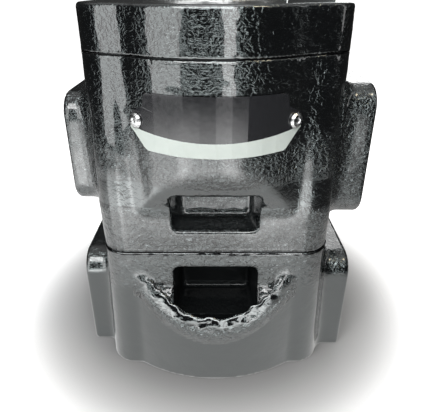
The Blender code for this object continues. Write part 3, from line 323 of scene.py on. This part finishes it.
def main_form(x, y, z):
    ledge_height, ledge_rise, ledge_half_length = 97.7, 16.5, 38.0
    v = np.abs(y - BARREL_Y)
    share = np.clip((z - ledge_height) / (MAIN_TOP - ledge_height), 0.0, 1.0)
    draft = (z - SEAM) / (MAIN_TOP - SEAM)
    reach = WAIST_REACH + (SHOULDER_REACH - WAIST_REACH) * share
    half = WAIST_HALF + (SHOULDER_HALF - WAIST_HALF) * draft
    core = rounded(x, v, half, reach, WAIST_CORNER + (SHOULDER_CORNER - WAIST_CORNER) * share)
    ledge = -slanted(v, z, ledge_height, -ledge_rise / (LOBE_REACH - WAIST_REACH))
    middle_share = np.clip(2.0 - 2.0 * np.abs(x) / ledge_half_length, 0.15, 1.0)
    lobe = meet(lobe_disc(x, v, reach, MAIN_LOBE), ledge, MAIN_LEDGE_RIM * middle_share)
    wall = join(core, lobe, MAIN_LOBE_FILLET)
    for pad in MAIN_PADS:
        wall = join(wall, port_pad(x, y - BARREL_Y, z, **pad), PAD_FILLET)
    depth = np.where(y < BARREL_Y, *MAIN_POCKET_DEPTHS)
    back_wall = WAIST_REACH - depth - MAIN_POCKET_LEAN * (z - MAIN_POCKET["low"])
    wall = cut(wall, pocket(x, v, z, back_wall, depth, **MAIN_POCKET), MAIN_POCKET_RIM)
    return meet(meet(wall, z - MAIN_TOP, MACHINED_EDGE), SEAM + GAP - z, SEAM_EDGE)


def main_holes(x, y, z):
    inner = chamber_holes(
        x, y, z, MAIN_GEARS, MAIN_CHAMBER_FLOOR, MAIN_TOP, MAIN_PORTS, MAIN_PORT_HEIGHT
    )
    drills = [((0, 0), SHAFT_HOLE, -PAST, FAR)]
    drills += [(place, SCREW_HOLE, -PAST, FAR) for place in SCREW_PLACES]
    for place in DOWEL_PLACES:
        drills.append((place, DOWEL_HOLE, -PAST, SEAM + DOWEL_DEPTH))
        drills.append((place, DOWEL_HOLE, MAIN_TOP - DOWEL_DEPTH, FAR))
    return np.minimum(inner, uprights(x, y, z, drills))


def main_faces(x, y, z):
    """Distances from the main body's machined faces."""
    return z - MAIN_TOP, z - SEAM - GAP, x - MAIN_RIGHT, x + MAIN_LEFT


def main_relief(x, v, z):
    """Grain below the ledge and on the lobe's foot, wrinkles above, and a smooth ledge."""
    grain_heights = (73, 95, 99, 112, 117, 126, 138, 300)
    wrinkle_heights = (73, 95, 99, 112, 122, 300)
    on_pad = np.abs(x) > 58.0
    in_pocket = (v < 60.0) & (np.abs(x) < 22.0)
    grain = np.interp(z, grain_heights, (0.95, 0.9, 0.1, 0.1, 0.8, 0.6, 0.12, 0.1))
    grain = np.where(in_pocket, 0.35, np.where(on_pad, 0.55, grain))
    wrinkle = np.interp(z, wrinkle_heights, (0.9, 0.9, 0.05, 0.05, 0.9, 1.0))
    return {"grain": grain, "wrinkle": np.where(on_pad, 1.0, wrinkle)}


# Rear body


def rear_form(x, y, z):
    v = np.abs(y - BARREL_Y)
    half = FOOT_HALF + (WAIST_HALF - FOOT_HALF) * z / SEAM
    core = rounded(x, v, half, WAIST_REACH, WAIST_CORNER)
    lobe = lobe_disc(x, v, WAIST_REACH, REAR_LOBE)
    fall = slanted(v, z, **REAR_FALL)
    ledge = meet(slanted(v, z, **REAR_SHELF), fall, 0.8)
    for size, length, seed in LEDGE_WAVES:
        ledge = ledge + size * ripples(x, v, z, length, seed)
    thick = LIP_RADIUS + np.clip(0.3 * ripples(x, v, z, 8.0, 5), -0.6, 0.3)
    lip = np.hypot(fall - 0.2, lobe + 1.9) - thick + 0.12 * ripples(x, v, z, 3.2, 6)
    half_moon = join(meet(lobe, ledge, 0.7), np.maximum(lip, lobe), 0.8)
    wall = join(core, np.maximum(half_moon, lobe + 0.05), REAR_LOBE_FILLET)
    for pad in REAR_PADS:
        wall = join(wall, port_pad(x, y - BARREL_Y, z, **pad), PAD_FILLET)
    depth = np.where(y < BARREL_Y, *REAR_POCKET_DEPTHS)
    hollow = pocket(x, v, z, WAIST_REACH - depth, depth, **REAR_POCKET)
    arc = disc(x, v - LOBE_REACH + REAR_LOBE, REAR_LOBE)
    wall = cut(wall, meet(hollow, arc + REAR_POCKET_WALL, 1.0), REAR_POCKET_RIM)
    return meet(meet(wall, z - SEAM, SEAM_EDGE), -z, FOOT_EDGE)


def rear_holes(x, y, z):
    inner = chamber_holes(
        x, y, z, REAR_GEARS, REAR_CHAMBER_FLOOR, SEAM, REAR_PORTS, REAR_PORT_HEIGHT
    )
    drills = [(place, SCREW_HOLE, -PAST, FAR) for place in SCREW_PLACES]
    drills += [(place, SCREW_HEAD_HOLE, -PAST, SCREW_HEAD_DEPTH) for place in SCREW_PLACES]
    drills += [(place, DOWEL_HOLE, SEAM - DOWEL_DEPTH, FAR) for place in DOWEL_PLACES]
    return np.minimum(inner, uprights(x, y, z, drills))


def rear_faces(x, y, z):
    """Distances from the rear body's machined faces."""
    return z - SEAM, z, x - REAR_RIGHT, x + REAR_LEFT


def rear_relief(x, v, z):
    """Coarse grain along the half-moon's lip, and painted shade in the pocket: lowered specular
    and coat and a rougher gloss, which darken the recess.
    """
    lip = 50.8 - 2.0 * np.maximum(v - WAIST_REACH - 1.5, 0.0)
    close = np.clip(1.4 - np.abs(z - lip) / 3.0, 0.0, 1.0) * (v > WAIST_REACH + 0.2)
    upper = np.interp(z, (0, 50, 56, 75), (0.04, 0.06, 0.3, 0.4))
    inside = (v < 61.0) & (np.abs(x) < 23.0) & (z > 20.0)
    close = np.where(inside, np.where(z < 36.0, 0.2, 0.03), close)
    upper = np.where(inside, 0.0, upper)
    # Where the pocket's painted shade is 1, the enamel's reflection is lowered to darken the
    # recess.
    return {
        "grain": np.maximum(upper, close),
        "wrinkle": np.maximum(0.1, 0.8 * close),
        "pocket_painted_shade": np.where(inside & (z < 66.0), 1.0, 0.0),
    }


# Meshes from distance fields

NET_STEPS = 4
SKIN = 0.16
SKIN_WAVES = ((0.11, 0.13), (0.035, 0.45))
CUBE = np.array([(i, j, k) for i in (0, 1) for j in (0, 1) for k in (0, 1)])
CUBE_EDGES = [
    (a, b) for a in range(8) for b in range(a + 1, 8) if np.abs(CUBE[a] - CUBE[b]).sum() == 1
]


def surface_net(field, low, step):
    """Points and quads of the surface where a sampled field changes sign."""
    inside = field < 0.0
    shape = np.array(field.shape) - 1
    count = np.zeros(shape, int)
    for i, j, k in CUBE:
        count += inside[i : i + shape[0], j : j + shape[1], k : k + shape[2]]
    cells = np.argwhere((count > 0) & (count < 8))
    values = [field[tuple((cells + corner).T)] for corner in CUBE]
    total = np.zeros((len(cells), 3))
    hits = np.zeros(len(cells))
    for a, b in CUBE_EDGES:
        crossing = (values[a] < 0) != (values[b] < 0)
        share = values[a] / np.where(crossing, values[a] - values[b], 1.0)
        points = CUBE[a] + share[:, None] * (CUBE[b] - CUBE[a])
        total += np.where(crossing[:, None], points, 0.0)
        hits += crossing
    points = low + (cells + total / hits[:, None]) * step
    number = np.full(shape, -1)
    number[tuple(cells.T)] = np.arange(len(cells))
    quads = []
    for axis in range(3):
        first, second = [other for other in range(3) if other != axis]
        ahead = np.moveaxis(inside, axis, 0)
        edges = np.argwhere(ahead[:-1] != ahead[1:])
        start = np.empty_like(edges)
        start[:, axis] = edges[:, 0]
        start[:, first] = edges[:, 1]
        start[:, second] = edges[:, 2]
        ring = []
        for back_first, back_second in ((1, 1), (0, 1), (0, 0), (1, 0)):
            around = start.copy()
            around[:, first] -= back_first
            around[:, second] -= back_second
            ring.append(number[tuple(around.T)])
        ring = np.stack(ring, 1)
        outward = inside[tuple(start.T)] ^ (axis == 1)
        ring[~outward] = ring[~outward][:, ::-1]
        quads.append(ring)
    return points, np.concatenate(quads)


def slopes(solid, points, reach=0.03):
    """A field's gradient over its squared length: times the field, the way to its surface."""
    rates = []
    for axis in range(3):
        step = np.zeros(3)
        step[axis] = reach
        rates.append(solid(*(points + step).T) - solid(*(points - step).T))
    rates = np.stack(rates, 1) / (2 * reach)
    return rates / np.maximum(np.sum(rates**2, 1), 1e-9)[:, None]


def skin_depth(point):
    """How far the cast skin lies below the drawn surface, in millimetres."""
    return SKIN + sum(size * noise.noise(point * rate) for size, rate in SKIN_WAVES)


def lengths(vectors):
    return np.maximum(np.linalg.norm(vectors, axis=1), 1e-9)[:, None]


def casting(node, form, holes, faces, relief, step):
    """A casting's surface, with its cast skin, its flat machined faces and its holes."""
    steps_before, steps_after = 1.6, 2.5
    bare_width, fade_width = 0.15, 1.2
    low, high = [np.array(corner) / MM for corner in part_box(node)]
    low, high = np.floor(low) - steps_before * step, high + steps_after * step
    axes = [np.arange(low[axis], high[axis], step) for axis in range(3)]

    def solid(x, y, z):
        return cut(form(x, y, z), holes(x, y, z), HOLE_EDGE)

    points, quads = surface_net(solid(*np.meshgrid(*axes, indexing="ij")), low, step)
    for _ in range(NET_STEPS):
        move = solid(*points.T)[:, None] * slopes(solid, points)
        points = points - move * np.minimum(1.0, 0.5 * step / lengths(move))
    x, y, z = points.T
    off_faces = np.min(np.abs(faces(x, y, z)), axis=0)
    cast = np.clip((off_faces - bare_width) / fade_width, 0.0, 1.0)
    cast = cast * (holes(x, y, z) > HOLE_EDGE + 0.1)
    depth = np.array([skin_depth(Vector(point)) for point in points]) * cast
    outward = slopes(form, points)
    points = points - outward / lengths(outward) * depth[:, None]
    mesh = bpy.data.meshes.new(f"{node}_casting")
    mesh.from_pydata((points * MM).tolist(), [], quads.tolist())
    mesh.update()
    mesh.shade_smooth()
    for key, values in relief(x, np.abs(y - BARREL_Y), z).items():
        layer = mesh.attributes.new(key, "FLOAT", "POINT")
        layer.data.foreach_set("value", values.astype(np.float32))
    machined = holes(*points[quads].mean(1).T) < HOLE_EDGE / 2
    mesh.polygons.foreach_set("material_index", machined.astype(np.int32))
    obj = bpy.data.objects.new(f"{node}_casting", mesh)
    bpy.context.scene.collection.objects.link(obj)
    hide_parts(node)
    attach(obj, "housing")
    return obj


# Paint in the joints


def outline(form, height, inset, turns):
    """How far a casting's outline lies from the barrel's middle, in each direction."""
    halvings, least, most = 24, 40.0, 95.0
    low, high = np.full(len(turns), least), np.full(len(turns), most)
    for _ in range(halvings):
        middle = (low + high) / 2
        x, y = middle * np.cos(turns), BARREL_Y + middle * np.sin(turns)
        outside = form(x, y, np.full(len(turns), height)) > -inset
        low, high = np.where(outside, low, middle), np.where(outside, middle, high)
    return low


def joint_paint(name, form, outline_height, height, inset, radius, wander, swell):
    """A bead of paint round a joint, which follows the casting's outline."""
    steps, sides = 900, 8
    turns = np.linspace(0.0, 2 * math.pi, steps, endpoint=False)
    reach = outline(form, outline_height, inset, turns)
    x, y = reach * np.cos(turns), BARREL_Y + reach * np.sin(turns)
    heights = height + wander * ripples(x, y, 0.0 * x, 26.0, 11)
    sizes = radius + swell * ripples(x, y, 0.0 * x, 6.0, 12)
    sizes = np.clip(sizes, 0.12, radius + 1.3 * swell)
    points, faces = [], []
    for index in range(steps):
        after = (index + 1) % steps
        for side in range(sides):
            angle = side * 2 * math.pi / sides
            out = 1.0 + sizes[index] * math.cos(angle) / reach[index]
            points.append((
                x[index] * out * MM,
                (BARREL_Y + (y[index] - BARREL_Y) * out) * MM,
                (heights[index] + sizes[index] * math.sin(angle)) * MM,
            ))
            ahead = (side + 1) % sides
            corners = ((index, side), (after, side), (after, ahead), (index, ahead))
            faces.append([ring * sides + corner for ring, corner in corners])
    mesh = bpy.data.meshes.new(name)
    mesh.from_pydata(points, [], faces)
    mesh.shade_smooth()
    obj = bpy.data.objects.new(name, mesh)
    bpy.context.scene.collection.objects.link(obj)
    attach(obj, "housing")
    return obj


# Material nodes


class Tree:
    """A material's node tree, with short ways to add and join nodes."""

    def __init__(self, name):
        self.material = bpy.data.materials.new(name)
        self.material.use_nodes = True
        self.nodes = self.material.node_tree.nodes
        self.links = self.material.node_tree.links
        self.shader = self.nodes["Principled BSDF"]
        self.coords = self.nodes.new("ShaderNodeTexCoord").outputs["Object"]

    def add(self, kind, **values):
        node = self.nodes.new(kind)
        for key, value in values.items():
            setattr(node, key, value)
        return node

    def link(self, source, target):
        self.links.new(source, target)

    def noise(self, scale, detail=3.0, roughness=0.5, distortion=0.0, vector=None):
        node = self.add("ShaderNodeTexNoise")
        node.inputs["Scale"].default_value = scale
        node.inputs["Detail"].default_value = detail
        node.inputs["Roughness"].default_value = roughness
        node.inputs["Distortion"].default_value = distortion
        self.link(vector or self.coords, node.inputs["Vector"])
        return node.outputs["Fac"]

    def stretch(self, scale):
        node = self.add("ShaderNodeMapping")
        node.inputs["Scale"].default_value = scale
        self.link(self.coords, node.inputs["Vector"])
        return node.outputs["Vector"]

    def ramp(self, source, low, high, out_low=0.0, out_high=1.0):
        node = self.add("ShaderNodeMapRange", interpolation_type="SMOOTHSTEP")
        node.inputs["From Min"].default_value = low
        node.inputs["From Max"].default_value = high
        node.inputs["To Min"].default_value = out_low
        node.inputs["To Max"].default_value = out_high
        self.link(source, node.inputs["Value"])
        return node.outputs["Result"]

    def maths(self, operation, first, second=0.0):
        node = self.add("ShaderNodeMath", operation=operation)
        for socket, value in zip(node.inputs, (first, second)):
            if isinstance(value, (int, float)):
                socket.default_value = value
            else:
                self.link(value, socket)
        return node.outputs["Value"]

    def mix(self, factor, first, second):
        node = self.add("ShaderNodeMix", data_type="RGBA")
        self.link(factor, node.inputs["Factor"])
        for name, value in (("A", first), ("B", second)):
            socket = [s for s in node.inputs if s.name == name and s.type == "RGBA"][0]
            if isinstance(value, tuple):
                socket.default_value = (*value, 1.0)
            else:
                self.link(value, socket)
        return [s for s in node.outputs if s.type == "RGBA"][0]

    def axis(self, name):
        if not hasattr(self, "split"):
            self.split = self.add("ShaderNodeSeparateXYZ")
            self.link(self.coords, self.split.inputs[0])
        return self.split.outputs[name]

    def bump(self, height, distance):
        node = self.add("ShaderNodeBump")
        node.inputs["Strength"].default_value = 1.0
        node.inputs["Distance"].default_value = distance
        self.link(height, node.inputs["Height"])
        return node.outputs["Normal"]

    def layer(self, name):
        """A number that the mesh holds at each point."""
        return self.add("ShaderNodeAttribute", attribute_name=name).outputs["Fac"]

    def gauge(self, operation, place):
        """The distance or length of the object's coordinates, from a place."""
        node = self.add("ShaderNodeVectorMath", operation=operation)
        self.link(self.coords, node.inputs[0])
        node.inputs[1].default_value = place
        return node.outputs["Value"]

    def set(self, name, value):
        socket = self.shader.inputs[name]
        if isinstance(value, tuple):
            socket.default_value = (*value, 1.0)
        elif isinstance(value, (int, float)):
            socket.default_value = value
        else:
            self.link(value, socket)


def enamel(name, left, right, top, with_painted_pocket_shade):
    """Gloss black enamel on cast iron, bare on the machined faces at these limits.

    The meshes' layers say where grain and wrinkles show, and where painted shade in a pocket
    lowers the gloss's specular and coat and roughens it.
    """
    tree = Tree(name)
    margin = 0.06
    bare = tree.maths("LESS_THAN", tree.axis("Z"), margin * MM)
    for axis, operation, limit in (
        ("X", "GREATER_THAN", right - margin),
        ("X", "LESS_THAN", margin - left),
        ("Z", "GREATER_THAN", top - margin),
    ):
        bare = tree.maths("MAXIMUM", bare, tree.maths(operation, tree.axis(axis), limit * MM))
    cloud = tree.noise(60.0, 4.0, 0.6)
    paint = tree.mix(cloud, (0.003, 0.0035, 0.004), (0.006, 0.0068, 0.0074))
    iron = tree.mix(tree.noise(900.0, 3.0), (0.40, 0.40, 0.40), (0.56, 0.57, 0.57))
    tree.set("Base Color", tree.mix(bare, paint, iron))
    tree.set("Metallic", bare)
    tree.set("Specular IOR Level", 1.0)
    tree.set("Specular Tint", (0.88, 1.0, 1.0))
    tree.set("Coat Weight", 1.0)
    tree.set("Coat IOR", 1.8)
    tree.set("Coat Roughness", 0.05)
    gloss = tree.ramp(tree.noise(240.0, 3.0), 0.3, 0.7, 0.05, 0.1)
    # Painted shade in the pocket: specular and coat drop and the gloss roughens, to darken the
    # recess.
    if with_painted_pocket_shade:
        pocket_painted_shade = tree.layer("pocket_painted_shade")
        shine = tree.maths("SUBTRACT", 1.0, tree.maths("MULTIPLY", pocket_painted_shade, 0.75))
        tree.set("Specular IOR Level", shine)
        tree.set("Coat Weight", shine)
        gloss = tree.maths("ADD", gloss, tree.maths("MULTIPLY", pocket_painted_shade, 0.45))
    ground = tree.ramp(tree.noise(700.0, 2.0), 0.3, 0.7, 0.3, 0.42)
    rough = tree.add("ShaderNodeMix")
    tree.link(bare, rough.inputs["Factor"])
    tree.link(gloss, rough.inputs["A"])
    tree.link(ground, rough.inputs["B"])
    tree.set("Roughness", rough.outputs["Result"])
    ridges = tree.maths("ABSOLUTE", tree.maths("SUBTRACT", tree.noise(330.0, 1.5, 0.5, 0.9), 0.5))
    worms = tree.ramp(ridges, 0.0, 0.16, 1.0, 0.0)
    patch = tree.ramp(tree.noise(26.0, 2.0), 0.38, 0.62, 0.4, 1.0)
    wrinkles = tree.maths("MULTIPLY", tree.maths("MULTIPLY", worms, patch), 0.34)
    swell = tree.maths("MULTIPLY", tree.noise(150.0, 2.0, 0.5), 0.9)
    height = tree.maths("MULTIPLY", tree.maths("ADD", wrinkles, swell), tree.layer("wrinkle"))
    grain = tree.noise(400.0, 2.0, 0.55, 0.6)
    speckle = tree.maths("MULTIPLY", grain, tree.maths("MULTIPLY", tree.layer("grain"), 12.0))
    height = tree.maths("ADD", height, speckle)
    across = tree.ramp(tree.maths("ABSOLUTE", tree.axis("X")), 9 * MM, 16 * MM, 1.0, 0.0)
    upper = tree.ramp(tree.axis("Z"), 152 * MM, 160 * MM)
    streaks = tree.noise(1000.0, 2.0, 0.5, vector=tree.stretch((0.12, 1.0, 1.0)))
    streaks = tree.maths("MULTIPLY", streaks, tree.maths("MULTIPLY", across, upper))
    height = tree.maths("ADD", height, streaks)
    painted = tree.maths("SUBTRACT", 1.0, bare)
    tree.set("Normal", tree.bump(tree.maths("MULTIPLY", height, painted), 0.34 * MM))
    return tree.material


def metal(name, colour, roughness, bump=0.02, scale=900.0, stretch=(1.0, 1.0, 1.0)):
    """Bare metal with fine marks and a little variation in its shine."""
    tree = Tree(name)
    marks = tree.noise(scale, 3.0, 0.6, vector=tree.stretch(stretch))
    dark = tuple(channel * 0.8 for channel in colour)
    tree.set("Base Color", tree.mix(tree.noise(90.0, 4.0), dark, colour))
    tree.set("Metallic", 1.0)
    tree.set("Roughness", tree.ramp(marks, 0.3, 0.7, roughness * 0.8, roughness * 1.25))
    tree.set("Normal", tree.bump(marks, bump * MM))
    return tree.material


def rubber():
    """Black rubber with a soft sheen."""
    tree = Tree("nitrile_rubber")
    cloud = tree.noise(300.0)
    tree.set("Base Color", tree.mix(cloud, (0.012, 0.012, 0.012), (0.025, 0.025, 0.024)))
    tree.set("Roughness", tree.ramp(tree.noise(600.0), 0.3, 0.7, 0.5, 0.7))
    tree.set("Normal", tree.bump(tree.noise(1800.0), 0.02 * MM))
    return tree.material


def plate_finish():
    """The nameplate's black field over a pale banner, whose upper edge bows."""
    banner_top, bow, half_width = 134.6 * MM, 3.6 * MM, 33.0 * MM
    tree = Tree("nameplate_finish")
    across = tree.maths("POWER", tree.maths("DIVIDE", tree.axis("X"), half_width), 2.0)
    edge = tree.maths("ADD", tree.maths("MULTIPLY", across, bow), banner_top)
    field = tree.maths("GREATER_THAN", tree.axis("Z"), edge)
    scuff = tree.noise(500.0, 5.0, 0.7)
    pale = tree.mix(tree.noise(120.0, 3.0), (0.58, 0.64, 0.6), (0.7, 0.76, 0.72))
    black = tree.mix(scuff, (0.012, 0.013, 0.015), (0.03, 0.031, 0.034))
    tree.set("Base Color", tree.mix(field, pale, black))
    tree.set("Metallic", 0.0)
    tree.set("Roughness", tree.ramp(scuff, 0.3, 0.7, 0.12, 0.2))
    tree.set("Specular IOR Level", tree.maths("ADD", tree.maths("MULTIPLY", field, 0.6), 0.1))
    tree.set("Coat Weight", tree.maths("MULTIPLY", field, 0.9))
    tree.set("Coat Roughness", 0.03)
    tree.set("Normal", tree.bump(tree.noise(200.0, 2.0), 0.05 * MM))
    return tree.material


CAST_BARE = metal("machined_iron", (0.46, 0.46, 0.45), 0.34, 0.03)
STEEL = metal("ground_shaft_steel", (0.6, 0.6, 0.6), 0.22, 0.01, 700.0, (1.0, 1.0, 6.0))
BLACK_OXIDE = metal("black_oxide", (0.07, 0.07, 0.075), 0.4, 0.02)
ALLOY = metal("bearing_block_alloy", (0.7, 0.71, 0.72), 0.36, 0.02)
BRONZE = metal("bush_bronze_finish", (0.6, 0.42, 0.22), 0.32, 0.02)
BRIGHT = metal("rivet_alloy", (0.78, 0.79, 0.79), 0.25, 0.02)
PAINT = metal("joint_paint", (0.02, 0.021, 0.022), 0.12, 0.03)
RUBBER = rubber()
PLATE = plate_finish()


def finish_of(name):
    """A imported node's material; the castings, which have their own, get none."""
    if "bush" in name:
        return BRONZE
    if name.endswith("_block"):
        return ALLOY
    if "gear" in name or "dowel" in name or name == "drive_shaft":
        return STEEL
    if "seal" in name and "ring" not in name:
        return RUBBER
    if "rivet" in name:
        return BRIGHT
    if name == "nameplate":
        return PLATE
    if "screw" in name or name in ("shaft_coupling", "seal_retaining_ring"):
        return BLACK_OXIDE
    return None


for node_name, node in NODES.items():
    finish = finish_of(node_name)
    if finish:
        node.material_slots[0].material = finish

# Each casting's shape, the step of its net, its bare faces, and whether painted shade darkens its
# pocket
CASTINGS = (
    ("front_cover", cover_form, cover_holes, cover_faces, cover_relief, 0.85),
    ("main_body", main_form, main_holes, main_faces, main_relief, 1.27),
    ("rear_body", rear_form, rear_holes, rear_faces, rear_relief, 1.2),
)
ENAMELS = {
    "front_cover": dict(left=FAR, right=FAR, top=COVER_TOP, with_painted_pocket_shade=False),
    "main_body": dict(left=MAIN_LEFT, right=MAIN_RIGHT, top=FAR, with_painted_pocket_shade=False),
    "rear_body": dict(left=REAR_LEFT, right=REAR_RIGHT, top=FAR, with_painted_pocket_shade=True),
}
for node_name, *shape in CASTINGS:
    piece = casting(node_name, *shape)
    piece.data.materials.append(enamel(f"{node_name}_enamel", **ENAMELS[node_name]))
    piece.data.materials.append(CAST_BARE)

# Beads of paint: where each follows a casting's outline, and how thick and uneven it is
JOINTS = (
    dict(
        name="front_joint_paint", form=main_form, outline_height=MAIN_TOP - 3,
        height=MAIN_TOP + GAP / 2, inset=0.36, radius=0.3, wander=0.0, swell=0.02,
    ),
    dict(
        name="rear_joint_paint", form=main_form, outline_height=SEAM + 3,
        height=SEAM + GAP / 2, inset=0.75, radius=0.4, wander=0.0, swell=0.04,
    ),
    dict(
        name="rear_joint_drips", form=rear_form, outline_height=SEAM - 3,
        height=SEAM - 0.6, inset=0.0, radius=0.34, wander=0.2, swell=0.3,
    ),
)
for joint in JOINTS:
    joint_paint(**joint).data.materials.append(PAINT)


# Studio


def look_at(obj, place, target):
    obj.matrix_world = Matrix.Translation(place) @ (
        (Vector(target) - Vector(place)).to_track_quat("-Z", "Y").to_matrix().to_4x4()
    )


def lamp(name, place, target, size, power, colour=(1.0, 1.0, 1.0)):
    light = bpy.data.lights.new(name, "AREA")
    light.shape = "RECTANGLE"
    light.size, light.size_y = size
    light.energy = power
    light.color = colour
    obj = bpy.data.objects.new(name, light)
    bpy.context.scene.collection.objects.link(obj)
    look_at(obj, place, target)
    obj.visible_camera = False


# Painted sheen: bands in which the floor glows for glossy rays only, which the gloss paint
# mirrors as painted reflections of floor under the lamps: their turns from ahead (from, to), and
# strengths
PAINTED_FLOOR_SHEEN = ((-1.15, -0.42, 1.5), (0.1, 0.34, 1.6), (-0.6, 0.45, 1.9))
FLOOR_HALF = 30.0


def floor_material():
    """A pale floor for the camera, with a painted shadow round the foot; for other rays its
    colour is painted near black away from a spot in front, and glossy rays see glowing bands on
    it, a painted sheen that the gloss paint mirrors.
    """
    tree = Tree("pale_floor_with_painted_shade_and_sheen")
    path = tree.add("ShaderNodeLightPath")
    seen, mirrored = path.outputs["Is Camera Ray"], path.outputs["Is Glossy Ray"]
    from_lit = tree.gauge("DISTANCE", (-0.12, -0.12, 0.0))
    from_foot = tree.gauge("DISTANCE", (0.0, BARREL_Y * MM, 0.0))
    from_middle = tree.gauge("LENGTH", (0.0, 0.0, 0.0))
    unseen = tree.maths("SUBTRACT", 1.0, seen)
    # Painted shade: for all but camera rays the floor's colour turns near black away from a spot
    # in front, standing in for light falling off.
    dim = tree.maths("MULTIPLY", tree.ramp(from_lit, 0.17, 0.45), unseen)
    # Painted shadow: for camera rays the floor's colour darkens to grey round the foot.
    close = tree.maths("MULTIPLY", tree.ramp(from_foot, 0.07, 0.13, 1.0, 0.0), seen)
    pale = tree.mix(close, (0.9, 0.9, 0.9), (0.25, 0.25, 0.25))
    tree.set("Base Color", tree.mix(dim, pale, (0.05, 0.05, 0.05)))
    tree.set("Roughness", 0.9)
    tree.set("Specular IOR Level", 0.0)
    # White for the camera away from the foot, plus painted sheen: bands that glow for glossy rays
    # only.
    backdrop_white_and_painted_sheen = tree.maths("MULTIPLY", tree.ramp(from_foot, 0.1, 0.16), seen)
    ahead = tree.maths("SUBTRACT", -0.05, tree.axis("Y"))
    turn = tree.maths("ARCTAN2", tree.axis("X"), ahead)
    # How far from the middle the painted sheen reaches, for glossy rays only.
    reach = tree.maths("MULTIPLY", from_middle, mirrored)
    near, far = tree.ramp(reach, 0.16, 0.3), tree.ramp(reach, 0.42, 0.75, 1.0, 0.0)
    painted_sheen_reach = tree.maths("MULTIPLY", near, far)
    soft = 0.08
    for low, high, strength in PAINTED_FLOOR_SHEEN:
        start = tree.ramp(turn, low - soft, low + soft, 0.0, strength)
        painted_sheen_band = tree.maths("MULTIPLY", start, tree.ramp(turn, high - soft, high + soft, 1.0, 0.0))
        backdrop_white_and_painted_sheen = tree.maths("ADD", backdrop_white_and_painted_sheen, tree.maths("MULTIPLY", painted_sheen_band, painted_sheen_reach))
    tree.set("Emission Color", (1.0, 1.0, 1.0))
    tree.set("Emission Strength", backdrop_white_and_painted_sheen)
    return tree.material


def build_floor():
    corners = [(-1, -1), (1, -1), (1, 1), (-1, 1)]
    points = [(x * FLOOR_HALF, y * FLOOR_HALF, 0.0) for x, y in corners]
    mesh = bpy.data.meshes.new("floor")
    mesh.from_pydata(points, [], [(0, 1, 2, 3)])
    mesh.materials.append(floor_material())
    floor = bpy.data.objects.new("floor", mesh)
    bpy.context.scene.collection.objects.link(floor)


def build_world():
    """White for the camera, and a dim sky that lights and is mirrored from above."""
    world = bpy.data.worlds.new("studio")
    bpy.context.scene.world = world
    world.use_nodes = True
    nodes = world.node_tree.nodes
    links = world.node_tree.links
    background = nodes["Background"]
    background.inputs["Color"].default_value = (1.0, 1.0, 1.0, 1.0)
    coords = nodes.new("ShaderNodeTexCoord")
    split = nodes.new("ShaderNodeSeparateXYZ")
    links.new(coords.outputs["Generated"], split.inputs[0])
    sky = nodes.new("ShaderNodeMapRange")
    sky.interpolation_type = "SMOOTHSTEP"
    levels = {"From Min": 0.45, "From Max": 0.85, "To Min": 0.02, "To Max": 0.4}
    for name, value in levels.items():
        sky.inputs[name].default_value = value
    links.new(split.outputs["Z"], sky.inputs["Value"])
    path = nodes.new("ShaderNodeLightPath")
    strength = nodes.new("ShaderNodeMath")
    strength.operation = "MAXIMUM"
    links.new(path.outputs["Is Camera Ray"], strength.inputs[0])
    links.new(sky.outputs["Result"], strength.inputs[1])
    links.new(strength.outputs["Value"], background.inputs["Strength"])


# The camera, fitted to the photograph: lengths in its pixels, and its place in millimetres
PHOTO_WIDTH = 440.0
FOCAL_LENGTH = 437.0
SHIFT = 6.0
SENSOR_WIDTH = 36.0
EYE = (-0.7, -268.6, 192.3)
PITCH = math.radians(26.7)


def build_camera():
    data = bpy.data.cameras.new("camera")
    data.sensor_width = SENSOR_WIDTH
    data.lens = FOCAL_LENGTH / PHOTO_WIDTH * SENSOR_WIDTH
    data.shift_x = SHIFT / PHOTO_WIDTH
    camera = bpy.data.objects.new("camera", data)
    bpy.context.scene.collection.objects.link(camera)
    tilt = Matrix.Rotation(math.pi / 2 - PITCH, 4, "X")
    camera.matrix_world = Matrix.Translation(Vector(EYE) * MM) @ tilt
    bpy.context.scene.camera = camera


build_floor()
build_world()
build_camera()
lamp("key", (-0.45, -0.47, 0.3), (0, 0, 0.12), (0.36, 0.6), 1.4)
lamp("fill", (0.13, -0.64, 0.3), (0, 0, 0.12), (0.13, 0.6), 0.85)
lamp("side", (0.6, -0.1, 0.35), (0, 0, 0.12), (0.05, 0.5), 0.1)
lamp("over", (-0.1, -0.55, 0.64), (0, 0, 0.1), (0.6, 0.35), 3.3)
lamp("warm", (0.38, -0.3, 0.75), (0, 0, 0.1), (0.12, 0.12), 0.35, (1.0, 0.86, 0.62))
lamp("back", (0.35, 0.75, 0.35), (0, 0, 0.12), (0.2, 0.5), 0.6)
lamp("top", (0.0, -0.1, 0.8), (0, 0, 0.1), (0.4, 0.4), 0.6)

bpy.context.scene.view_settings.view_transform = "Standard"
